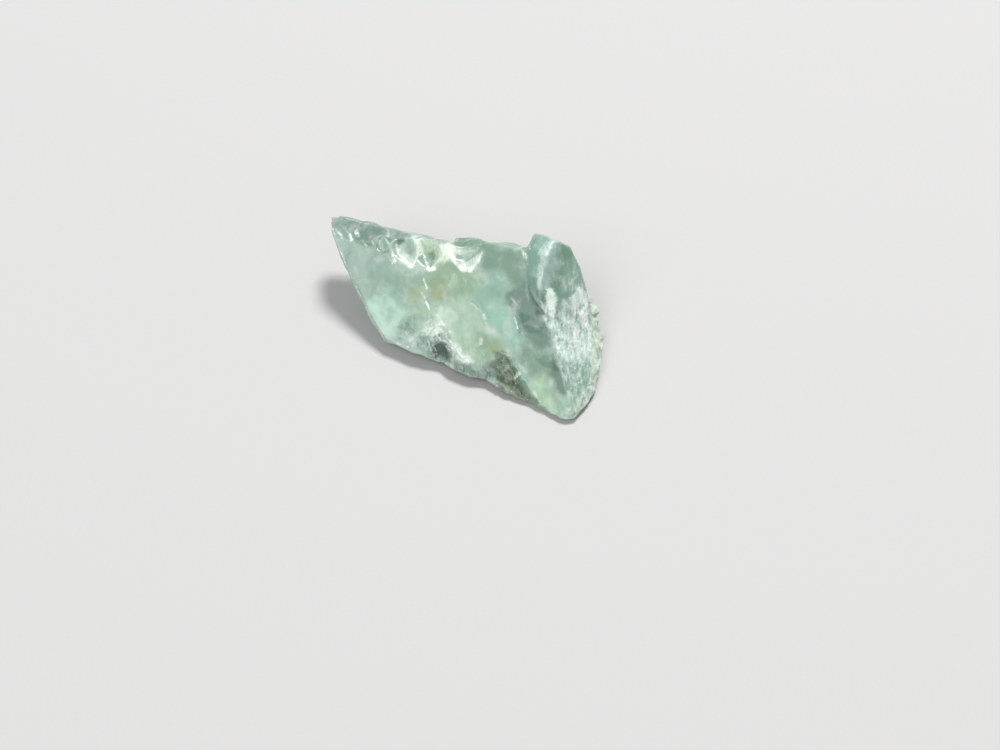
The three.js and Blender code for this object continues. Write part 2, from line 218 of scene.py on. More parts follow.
class Tint(Enum):
    """The crystal's colours, as they look in the photograph's light."""

    MIST = (174, 194, 184)
    SEA = (160, 188, 175)
    # Painted glow: a pale green brightened where light through the stone comes out
    MINT = (214, 240, 226)
    SMOKE = (128, 149, 140)
    PEARL = (200, 212, 206)
    CREAM = (236, 240, 222)
    SNOW = (240, 247, 240)
    LEAF = (160, 188, 157)
    STRAW = (184, 196, 158)
    OCHRE = (174, 178, 130)
    SAGE = (188, 212, 190)
    TEAL = (130, 163, 151)
    LAGOON = (148, 182, 170)
    # Painted dark: the dark ground that shows through clear crystal
    WINDOW = (84, 108, 94)
    MOSS = (88, 108, 72)
    FIR = (132, 162, 144)
    # Painted glow, this one and the next: a bright blue-green where light from behind comes out through the
    # stone
    AQUA = (160, 198, 182)
    GLOW = (172, 214, 198)
    SLATE = (114, 144, 132)
    DEEP = (88, 120, 100)
    # Painted glow: a bright yellow-green where light from behind comes out through the stone
    LIME = (192, 220, 188)
    ICE = (180, 199, 198)
    FROST = (212, 231, 228)


@dataclass(frozen=True)
class Sight:
    """The photograph's line of sight: outlines are measured across it at the stone's middle."""

    place_mm: Point = (3.394, -110.116, 125.122)
    tilt_deg: float = 40.0
    distance_mm: float = 166.67
    grazing: Span = (0.0, 0.2)

    def seen(self, points_mm: np.ndarray) -> tuple[np.ndarray, np.ndarray]:
        """Gives where each point is seen.

        Args:
            points_mm: Points, one a row.

        Returns:
            How far right of the middle of the view and how far above it each point is, in millimetres.
        """
        tilt = math.radians(self.tilt_deg)
        gap = points_mm - np.array(self.place_mm)
        depth = gap @ np.array((0.0, math.sin(tilt), -math.cos(tilt)))
        above = gap @ np.array((0.0, math.cos(tilt), math.sin(tilt)))
        return self.distance_mm * gap[:, 0] / depth, self.distance_mm * above / depth

    def faces(self, points_mm: np.ndarray, normals: np.ndarray) -> np.ndarray:
        """Gives how much each point faces the viewer.

        Args:
            points_mm: Points, one a row.
            normals: Their outward directions.

        Returns:
            The shares, from 0 to 1.
        """
        towards = np.array(self.place_mm) - points_mm
        towards /= np.linalg.norm(towards, axis=1)[:, None]
        return ramp(np.einsum("ij,ij->i", towards, normals), *self.grazing)


@dataclass(frozen=True)
class Patch:
    """A part of the crystal with a colour of its own, or with painted glow, painted lightening or painted
    dark over it, outlined in millimetres across the line of sight.

    share is how much of the colour it lays down, soft half the width of its border and ragged how far the
    border wanders. clear is its clearness and bruise the strength of its small fractures. A near patch lies
    on the side that is seen, and any other goes through the stone. grainy sets the strength of the granular
    face's grain in it, where given.
    """

    tint: Tint
    outline: tuple[Span, ...]
    share: float = 0.85
    soft: float = 0.5
    ragged: float = 0.3
    bruise: float = 0.0
    near: bool = False
    clear: float = 0.25
    grainy: Optional[float] = None

    def outside(self, across: np.ndarray, up: np.ndarray) -> np.ndarray:
        """Gives how far each point is outside the outline.

        Args:
            across: The points' first coordinate.
            up: Their second one.

        Returns:
            The distances, below 0 for a point inside.
        """
        inside = np.zeros(len(across), bool)
        nearest = np.full(len(across), np.inf)
        for (x1, y1), (x2, y2) in zip(self.outline, self.outline[1:] + self.outline[:1]):
            dx, dy = x2 - x1, y2 - y1
            along = np.clip(((across - x1) * dx + (up - y1) * dy) / (dx * dx + dy * dy), 0, 1)
            nearest = np.minimum(nearest, np.hypot(across - x1 - along * dx, up - y1 - along * dy))
            if dy:
                crossed = (up < y1) != (up < y2)
                inside ^= crossed & (across < x1 + (up - y1) * dx / dy)
        return np.where(inside, -nearest, nearest)


@dataclass(frozen=True)
class Flaw:
    """A bundle of thin cracks, worn lines or painted edge highlights along a path in millimetres, bright or
    dark.

    Its strands spread at right angles to facing, the outward direction of the surface that it lies on. Each
    strand of a bundle has a strength from faintest to 1 of the flaw's share, starts up to latest_start into
    the path's first length, and may drift to another place in the bundle by its end. core is the part of the
    width that is marked in full.
    """

    path: tuple[Point, ...]
    width_mm: float
    share: float = 0.9
    strands: int = 1
    spread_mm: float = 0.0
    dark: bool = False
    facing: Point = FRONT_NORMAL
    faintest: float = 0.5
    latest_start: float = 0.35
    drift: float = 0.6
    core: float = 0.25

    def marks(self, points_mm: np.ndarray, draws: random.Random) -> np.ndarray:
        """Gives the strength of the lines at each point.

        Args:
            points_mm: Points, one a row.
            draws: The source of the strands' places.

        Returns:
            The strengths, from 0 to 1.
        """
        marked = np.zeros(len(points_mm))
        bundle = self.strands > 1
        whole = Vector(self.path[-1]) - Vector(self.path[0])
        side = np.array(whole.cross(Vector(self.facing)).normalized()) * self.spread_mm
        for _ in range(self.strands):
            first, last = draws.uniform(-1, 1), draws.uniform(-1, 1)
            strength = self.share * (draws.uniform(self.faintest, 1) if bundle else 1)
            end_shift = (1 - self.drift) * first + self.drift * last
            shifts = np.linspace(first, end_shift, len(self.path))
            corners = [np.array(corner) + side * shift for corner, shift in zip(self.path, shifts)]
            cut = draws.uniform(0, self.latest_start) if bundle else 0.0
            corners[0] = corners[0] + cut * (corners[1] - corners[0])
            for start, end in zip(corners, corners[1:]):
                along = end - start
                share = np.clip((points_mm - start) @ along / (along @ along), 0, 1)
                far = np.linalg.norm(points_mm - start - share[:, None] * along, axis=1)
                shown = ramp(far, self.width_mm, self.core * self.width_mm)
                marked = np.maximum(marked, strength * shown)
        return marked


@dataclass(frozen=True)
class Specks:
    """Specks of one colour in one zone, where a pattern passes through a span of its values."""

    zone: Zone
    span: Span
    share: float
    colour: Rgb


@dataclass(frozen=True)
class CrystalFinish:
    """The body of the crystal: light bending, gloss, depth, and each zone's colour, clearness and frost."""

    refraction: float = 1.434
    gloss_roughness: float = 0.1
    frost_roughness: float = 0.55
    absorption_colour: tuple[float, float, float, float] = (0.62, 0.88, 0.75, 1.0)
    absorption_density: float = 60.0
    scatter_share: float = 0.6
    scatter_reach: float = 0.002
    scatter_radius: Point = (0.8, 1.0, 0.9)
    patch_gain: Point = (0.86, 0.93, 0.88)
    cloud_per_mm: float = 0.35
    cloud_detail: float = 3.0
    cloud_span: Span = (0.35, 0.65)
    pale: Rgb = (200, 220, 207)
    deep: Rgb = (166, 196, 176)
    zone_colours: tuple[tuple[Zone, float, Rgb], ...] = (
        (Zone.BROKEN, 0.6, (170, 200, 181)),
        (Zone.BEVEL, 1.0, (176, 194, 185)),
        (Zone.SLAB, 1.0, (152, 186, 171)),
        (Zone.GRANULAR, 1.0, (166, 190, 178)),
        (Zone.MARGIN, 1.0, (186, 200, 168)),
        (Zone.LEDGE, 1.0, (128, 144, 120)),
    )
    clearness: float = 0.3
    zone_clearness: tuple[tuple[Zone, float], ...] = (
        (Zone.BROKEN, 0.5),
        (Zone.GRANULAR, 0.1),
        (Zone.MARGIN, 0.12),
        (Zone.BEVEL, 0.5),
        (Zone.SLAB, 0.4),
    )
    zone_frost: tuple[tuple[Zone, float], ...] = (
        (Zone.GRANULAR, 1.0),
        (Zone.MARGIN, 1.0),
        (Zone.LEDGE, 0.7),
        (Zone.SLAB, 0.35),
    )


@dataclass(frozen=True)
class GrainFinish:
    """The streaky frosted grain of the granular face, and the crumbs of its margin and of the ledge."""

    turn_deg: Point = (0.0, 0.0, 12.0)
    stretch: Point = (2.4, 0.75, 1.1)
    streak_detail: float = 5.0
    streak_roughness: float = 0.72
    streaks: tuple[Specks, ...] = (
        Specks(Zone.GRANULAR, (0.47, 0.62), 0.85, WHITE),
        Specks(Zone.GRANULAR, (0.47, 0.33), 0.6, DEPTH),
    )
    crumb_per_mm: float = 1.5
    crumb_detail: float = 4.0
    crumb_roughness: float = 0.65
    crumbs: tuple[Specks, ...] = (
        Specks(Zone.MARGIN, (0.5, 0.64), 0.6, WHITE),
        Specks(Zone.MARGIN, (0.46, 0.36), 0.4, (160, 152, 104)),
        Specks(Zone.LEDGE, (0.52, 0.38), 0.6, SCAR),
    )


@dataclass(frozen=True)
class WispFinish:
    """The light and dark wisps that drift through the crystal, fainter on its broken faces."""

    turn_deg: Point = (0.0, 0.0, 35.0)
    stretch: Point = (1.15, 0.75, 1.0)
    warp_per_mm: float = 0.5
    warp_mm: float = 0.6
    per_mm: float = 0.7
    detail: float = 4.0
    roughness: float = 0.55
    light: Span = (0.47, 0.82)
    light_share: float = 0.42
    dark: Span = (0.53, 0.22)
    dark_share: float = 0.4
    on_broken: float = 0.4


@dataclass(frozen=True)
class BruiseFinish:
    """The small fracture faces of the bruised, crumbled and broken parts."""

    turn_deg: Point = (0.0, 0.0, -25.0)
    stretch: Point = (1.7, 0.8, 0.9)
    warp_per_mm: float = 1.1
    warp_mm: float = 0.5
    on_crumbs: float = 0.3
    on_broken: float = 0.2
    coarse_per_mm: float = 1.3
    coarse_shine: Span = (0.5, 1.0)
    coarse_share: float = 0.45
    coarse_line_share: float = 0.5
    fine_per_mm: float = 3.4
    fine_shine: Span = (0.6, 1.0)
    fine_share: float = 0.7
    fine_line_share: float = 0.25
    line_span: Span = (0.09, 0.0)
    dull: Span = (0.5, 0.0)
    dull_share: float = 0.55
    clearness: float = 0.05
    frost: float = 0.4


@dataclass(frozen=True)
class CrackAndHighlightFinish:
    """The bright cracks and chips, the painted glints and the painted highlight along the sharp edges."""

    # Painted highlight: how much white is laid along every sharp edge
    rim_highlight_share: float = 0.12
    clearness: float = 0.0
    frost: float = 0.6


@dataclass(frozen=True)
class BumpFinish:
    """Relief too fine for the mesh: soft waves all over, grain on the frost and lines on the slab."""

    wave_per_mm: float = 0.8
    wave_detail: float = 2.0
    wave_height: float = 0.12
    grain_per_mm: float = 5.5
    grain_detail: float = 4.0
    grain_roughness: float = 0.65
    grain_height: float = 0.22
    slab_line_height: float = 0.12
    distance_mm: float = 0.5
    strength: float = 0.6


PATCHES: tuple[Patch, ...] = (
    # The blade
    Patch(Tint.MIST, (
        (-16.9, 14.7), (-14.8, 13.7), (-12.4, 12.5), (-10.4, 11.3), (-9.8, 9.9), (-10.6, 7.5),
        (-12.4, 6.3), (-14.8, 8.5), (-16.4, 12.1),
    ), share=0.8, soft=0.8),
    Patch(Tint.SEA, (
        (-12.4, 12.1), (-9.4, 11.3), (-7.6, 10.3), (-8.0, 7.5), (-9.8, 5.9), (-12.0, 6.3), (-13.4, 8.5),
    ), share=0.8, soft=0.9),
    # Painted glow: the crystal's pale green made bright where light through the stone comes out at the
    # blade's foot
    Patch(Tint.MINT, (
        (-13.6, 7.3), (-11.4, 7.9), (-9.4, 6.5), (-9.8, 5.1), (-10.8, 3.4), (-11.7, 3.7), (-12.8, 5.3),
    ), soft=0.6, ragged=0.4),
    # Painted glow of light through the stone, as above
    Patch(Tint.MINT, ((-11.4, 9.1), (-10.6, 8.9), (-11.6, 7.1), (-12.4, 6.9)), share=0.5, soft=0.3),
    Patch(Tint.SMOKE, (
        (-15.0, 15.4), (-11.6, 15.0), (-11.2, 13.5), (-12.8, 12.7), (-14.6, 13.4), (-15.4, 14.5),
    ), share=0.9, soft=0.3, ragged=0.2),
    Patch(Tint.SMOKE, (
        (-11.6, 14.8), (-8.7, 14.1), (-8.8, 12.8), (-10.6, 12.9), (-11.6, 13.5),
    ), share=0.9, soft=0.4, ragged=0.2, bruise=0.15),
    Patch(Tint.SMOKE, (
        (-17.0, 15.9), (-15.3, 15.7), (-14.8, 14.9), (-15.4, 13.7), (-16.6, 14.1),
    ), share=0.5, soft=0.4, ragged=0.2, bruise=0.3),
    # Partly painted light: the chip's own whitish fracture, made paler also to lift the shade its face lies
    # in
    Patch(Tint.PEARL, (
        (-9.8, 13.3), (-8.2, 13.9), (-8.0, 12.3), (-8.8, 11.2), (-10.4, 12.3),
    ), share=0.95, soft=0.25, ragged=0.2, bruise=0.3, near=True, clear=0.05),
    Patch(Tint.SMOKE, (
        (-13.0, 14.4), (-10.9, 14.2), (-10.6, 12.1), (-12.7, 11.9),
    ), share=0.7, soft=0.4, ragged=0.2, bruise=0.2, near=True),
    # Painted lightening: pale laid over a chip face to cancel the shade it lies in
    Patch(Tint.PEARL, (
        (-12.3, 13.4), (-11.7, 13.9), (-11.2, 13.4), (-11.1, 12.5), (-11.7, 12.3), (-12.3, 12.8),
    ), share=0.75, soft=0.15, ragged=0.1, near=True, clear=0.1),
    # The bruised crest
    Patch(Tint.SMOKE, (
        (-8.0, 14.2), (-4.8, 13.5), (-5.3, 13.1), (-7.6, 13.6),
    ), share=0.8, soft=0.15, ragged=0.1, near=True),
    # Partly painted light: the whitish bruised notches, made paler also to lift the shade of their chip
    # faces
    Patch(Tint.CREAM, (
        (-8.6, 13.5), (-7.0, 13.6), (-5.3, 13.0), (-4.2, 13.6), (-3.6, 12.5), (-4.8, 11.5), (-6.2, 11.3),
        (-7.2, 12.1), (-8.4, 12.0),
    ), share=0.9, soft=0.3, bruise=0.6, near=True, clear=0.05),
    Patch(Tint.CREAM, (
        (-11.0, 12.5), (-9.8, 12.8), (-9.2, 12.1), (-8.4, 11.3), (-8.9, 10.7), (-10.0, 11.3),
    ), share=0.5, soft=0.4, ragged=0.4, bruise=0.8, near=True),
    Patch(Tint.FIR, (
        (-4.8, 13.2), (-3.6, 14.0), (-1.4, 13.8), (0.4, 13.2), (-1.4, 12.4), (-3.2, 12.7), (-4.4, 12.6),
    ), share=0.9, soft=0.3, ragged=0.1),
    Patch(Tint.FIR, (
        (-7.4, 12.2), (-7.2, 10.9), (-6.6, 11.0), (-6.1, 11.9), (-6.6, 12.6),
    ), share=0.6, soft=0.2, ragged=0.1, bruise=0.6, near=True, clear=0.1),
    Patch(Tint.PEARL, (
        (-4.7, 12.3), (-1.5, 12.6), (-2.6, 10.7), (-3.8, 10.7),
    ), share=0.95, soft=0.2, ragged=0.1, bruise=0.6, near=True, clear=0.05),
    Patch(Tint.SNOW, (
        (-4.6, 12.0), (-2.0, 12.2), (-3.0, 10.4), (-3.9, 10.5),
    ), share=0.55, soft=0.3, ragged=0.2, bruise=0.9, near=True),
    # The middle of the front face
    Patch(Tint.LEAF, (
        (-7.6, 10.5), (-5.2, 11.5), (-3.8, 10.5), (-2.0, 10.3), (-1.6, 8.9), (-3.4, 7.1), (-6.0, 7.3),
        (-7.4, 8.3),
    ), share=0.9, soft=0.6, ragged=0.4),
    Patch(Tint.STRAW, (
        (-9.5, 9.1), (-7.9, 9.7), (-7.5, 8.3), (-8.3, 7.3), (-9.5, 7.8),
    ), share=0.7, soft=0.6),
    Patch(Tint.OCHRE, (
        (-7.0, 8.9), (-5.4, 9.5), (-5.2, 7.9), (-6.0, 6.9), (-6.9, 7.3),
    ), share=0.6, soft=0.7),
    Patch(Tint.SEA, (
        (-10.0, 10.7), (-7.4, 10.2), (-7.6, 9.1), (-9.5, 8.7), (-10.2, 7.3), (-11.0, 8.5),
    ), share=0.7, soft=0.6, ragged=0.4),
    Patch(Tint.SAGE, (
        (-6.6, 7.3), (-2.4, 7.9), (-1.4, 5.9), (-2.0, 4.3), (-5.4, 4.3), (-7.2, 5.9),
    ), soft=0.7, ragged=0.5),
    Patch(Tint.SAGE, (
        (-8.8, 7.5), (-6.6, 6.9), (-6.8, 5.3), (-9.0, 5.7),
    ), share=0.8, soft=0.6, ragged=0.4),
    Patch(Tint.SNOW, (
        (-6.6, 6.1), (-5.0, 6.7), (-4.2, 5.7), (-5.1, 4.7), (-6.4, 4.9),
    ), share=0.7, ragged=0.5, bruise=0.2, near=True),
    Patch(Tint.SNOW, (
        (-8.2, 4.9), (-6.6, 5.2), (-5.7, 4.1), (-7.0, 3.5), (-8.4, 4.0),
    ), share=0.45, soft=0.4, ragged=0.5, bruise=0.8),
    # The mottled foot of the front face
    Patch(Tint.TEAL, (
        (-10.3, 5.5), (-8.9, 5.8), (-8.4, 4.4), (-9.2, 3.2), (-10.3, 3.8),
    ), soft=0.4, ragged=0.4, bruise=0.25),
    Patch(Tint.SEA, (
        (-11.5, 4.0), (-10.0, 3.7), (-7.6, 3.5), (-6.8, 2.5), (-8.0, 2.1), (-10.0, 2.8), (-11.2, 3.3),
    ), share=0.75, soft=0.4, ragged=0.4, bruise=0.35),
    Patch(Tint.TEAL, (
        (-8.8, 3.7), (-7.3, 4.2), (-6.9, 3.1), (-7.8, 2.4), (-8.9, 2.8),
    ), share=0.9, soft=0.3, bruise=0.4),
    # Painted dark: the dark ground that shows through the clear crystal here, over its clearness
    Patch(Tint.WINDOW, (
        (-7.0, 2.1), (-6.4, 3.6), (-5.4, 3.9), (-4.5, 2.4), (-5.2, 1.5), (-6.2, 1.7),
    ), share=0.88, soft=0.3, ragged=0.5, bruise=0.2, clear=0.45),
    Patch(Tint.SAGE, (
        (-5.0, 4.7), (-1.8, 4.5), (-1.2, 2.9), (-2.0, 0.7), (-3.2, 2.1), (-4.6, 3.5),
    ), share=0.75, soft=0.6, ragged=0.4, bruise=0.25),
    Patch(Tint.SNOW, (
        (-5.7, 4.5), (-5.1, 4.4), (-3.9, 3.1), (-2.9, 2.0), (-2.5, 0.9), (-3.5, 0.8), (-4.8, 2.4),
    ), share=0.3, soft=0.3, ragged=0.4, bruise=0.9, near=True),
    Patch(Tint.LEAF, ((-2.6, 4.5), (-0.2, 3.7), (0.8, 2.9), (0.2, 2.1), (-1.2, 1.7), (-2.4, 2.3))),
    Patch(Tint.OCHRE, ((-1.4, 3.2), (0.0, 3.1), (0.4, 2.5), (-0.3, 1.9), (-1.2, 2.3)), share=0.5),
    Patch(Tint.DEEP, (
        (-5.4, 1.4), (-4.4, 1.6), (-3.0, 0.9), (-1.3, -0.3), (-1.9, -1.1), (-3.8, -0.2),
    ), share=1.0, soft=0.2, ragged=0.2, bruise=0.3),
    # The scar and the ledge
    Patch(Tint.TEAL, (
        (-2.4, 0.9), (-0.8, 1.4), (0.1, 0.3), (-0.3, -1.1), (-1.6, -0.8),
    ), soft=0.3, ragged=0.4, bruise=0.55, near=True, clear=0.3),
    Patch(Tint.MOSS, (
        (-0.8, 2.4), (0.8, 2.3), (1.7, 1.5), (2.1, -0.1), (1.5, -1.4), (0.5, -1.6), (-0.2, -0.6),
        (0.2, 0.4), (-0.6, 1.5),
    ), share=0.95, soft=0.2, ragged=0.2, bruise=0.2, near=True),
    Patch(Tint.MOSS, (
        (0.0, -1.0), (1.4, -0.3), (2.9, -1.4), (4.1, -2.6), (3.5, -3.0), (2.0, -2.4), (0.5, -1.7),
    ), share=0.9, soft=0.2, ragged=0.2, bruise=0.25, near=True),
    # The front face beside the ridge, with painted glow where light from behind comes out through the stone
    Patch(Tint.FIR, (
        (-1.8, 13.2), (1.4, 12.9), (2.5, 11.3), (2.8, 9.3), (1.2, 8.8), (-0.2, 10.3), (-2.0, 10.5),
    ), share=0.95, soft=0.8, ragged=0.4),
    # Painted glow over the crystal's blue-green, where light from behind comes out
    Patch(Tint.AQUA, (
        (-2.3, 8.9), (-1.0, 10.4), (0.3, 10.3), (1.5, 8.7), (0.8, 7.0), (1.6, 5.3), (2.7, 3.7),
        (2.2, 2.8), (0.8, 3.5), (-0.6, 4.5), (-1.6, 5.8), (-2.8, 7.2),
    ), soft=0.35),
    # Painted glow of light coming through the stone
    Patch(Tint.GLOW, (
        (-2.2, 6.9), (0.0, 7.5), (1.3, 5.0), (2.0, 3.5), (0.5, 4.0), (-1.1, 5.3),
    ), share=0.45, soft=0.7, ragged=0.4),
    Patch(Tint.SLATE, (
        (0.6, 8.1), (1.8, 8.8), (2.7, 10.5), (4.0, 7.2), (4.8, 4.7), (5.3, 2.3), (4.0, 2.1), (3.0, 3.3),
        (1.9, 4.7), (1.4, 6.0),
    ), share=0.95, soft=0.3, ragged=0.2),
    Patch(Tint.SLATE, (
        (0.5, 7.8), (1.3, 8.3), (1.7, 7.5), (1.4, 6.8), (0.6, 6.9),
    ), share=0.5, soft=0.2, ragged=0.2),
    Patch(Tint.FIR, (
        (1.6, 2.3), (3.0, 3.1), (5.1, 2.3), (5.8, 0.5), (4.6, -0.7), (2.6, 0.3),
    ), share=0.9, soft=0.8, ragged=0.4),
    # Painted glow over the crystal's blue-green, where light from behind comes out
    Patch(Tint.AQUA, (
        (0.8, 3.1), (2.0, 2.9), (1.8, 1.5), (3.0, -0.1), (4.0, -1.3), (3.2, -1.9), (2.0, -0.7),
        (1.2, 1.1),
    ), share=0.75),
    # Painted glow: yellow-green, brightest where light from behind comes out through the stone
    Patch(Tint.LIME, (
        (2.8, -0.9), (4.2, -0.1), (4.9, -1.7), (6.2, -3.1), (6.0, -4.2), (4.4, -3.2), (3.4, -2.3),
    ), share=0.9),
    Patch(Tint.FIR, ((5.3, -1.5), (6.2, -2.0), (6.8, -4.0), (6.0, -3.7), (5.2, -2.5)), share=0.6, soft=0.4),
    # Painted glow over the crystal's blue-green, where light from behind comes out
    Patch(Tint.AQUA, (
        (6.2, -1.8), (7.5, -2.1), (8.2, -2.9), (7.5, -4.6), (6.2, -4.2), (6.0, -2.9),
    ), share=0.75),
    # The slab
    Patch(Tint.LAGOON, (
        (2.2, 11.3), (3.7, 14.4), (5.3, 13.9), (4.9, 11.3), (4.1, 9.0), (3.6, 7.7), (2.8, 8.5),
        (2.1, 9.9),
    ), share=0.9, soft=0.2, ragged=0.1),
    Patch(Tint.FIR, ((1.6, 12.3), (3.6, 14.6), (4.0, 14.1), (2.4, 11.3)), share=0.8, soft=0.3, ragged=0.1),
    Patch(Tint.FIR, (
        (5.6, 13.7), (7.7, 12.7), (8.5, 9.9), (8.2, 8.5), (6.5, 7.9), (5.1, 8.4), (5.5, 10.7),
    ), share=0.9, soft=0.4, ragged=0.2),
    Patch(Tint.SEA, ((6.2, 11.6), (8.4, 10.5), (8.4, 8.5), (6.2, 8.3)), share=0.9, soft=0.6, bruise=0.25),
    Patch(Tint.ICE, (
        (4.9, 14.1), (6.1, 13.5), (5.7, 11.3), (4.9, 9.0), (3.9, 7.3), (3.2, 7.9), (3.8, 9.9),
        (4.4, 12.0),
    ), share=0.85, soft=0.4, ragged=0.15, bruise=0.15, near=True),
    Patch(Tint.SLATE, ((3.5, 8.3), (4.5, 8.7), (4.5, 7.4), (4.0, 6.9)), soft=0.2, ragged=0.1, near=True),
    # The granular face and its margin
    Patch(Tint.FROST, (
        (6.4, 7.3), (8.3, 8.9), (9.1, 7.5), (8.6, 4.5), (8.9, 2.5), (8.2, 0.5), (7.0, 0.1), (6.1, 2.5),
        (6.7, 5.0),
    ), soft=0.4, ragged=0.5, bruise=0.5, near=True),
    Patch(Tint.SEA, (
        (5.7, 7.7), (6.6, 7.3), (6.5, 4.7), (6.0, 3.3), (5.3, 4.1), (5.6, 5.7),
    ), share=0.6, ragged=0.4, bruise=0.3, near=True),
    Patch(Tint.FROST, (
        (6.0, 7.3), (6.9, 7.4), (7.6, 6.0), (7.2, 4.2), (6.4, 4.0), (6.1, 5.6),
    ), share=0.7, soft=0.3, ragged=0.5, bruise=0.55, near=True),
    Patch(Tint.FROST, (
        (5.2, 6.2), (6.0, 4.9), (6.6, 2.7), (7.0, 1.3), (6.5, 0.7), (6.0, 2.1), (5.3, 4.1),
    ), share=0.75, soft=0.3, bruise=0.6, near=True),
    Patch(Tint.SAGE, (
        (8.6, 8.6), (9.7, 7.5), (10.5, 4.5), (10.3, -1.2), (9.2, -0.8), (9.1, 3.0), (9.2, 5.0),
        (8.7, 7.0),
    ), share=0.85, soft=0.3, bruise=0.4, near=True),
    Patch(Tint.SEA, (
        (6.3, 1.6), (9.0, 1.1), (9.8, -1.1), (8.8, -2.7), (7.5, -3.9), (6.9, -2.0),
    ), share=0.95, soft=0.5, ragged=0.4, bruise=0.2, near=True, grainy=0.5),
    Patch(Tint.SNOW, (
        (4.5, 8.7), (5.3, 8.6), (5.7, 7.3), (5.4, 6.1), (4.7, 6.7),
    ), share=1.0, soft=0.2, bruise=0.25, near=True, clear=0.05),
    Patch(Tint.SNOW, (
        (6.8, 7.8), (8.3, 9.0), (9.1, 7.5), (8.7, 4.9), (7.3, 4.1),
    ), share=0.6, soft=0.3, ragged=0.4, bruise=0.1, near=True, grainy=1.6),
    Patch(Tint.DEEP, (
        (5.1, 1.9), (5.9, 1.3), (6.5, -0.5), (6.6, -2.0), (5.5, -1.5), (4.9, 0.1),
    ), share=0.8, soft=0.35, ragged=0.2),
)

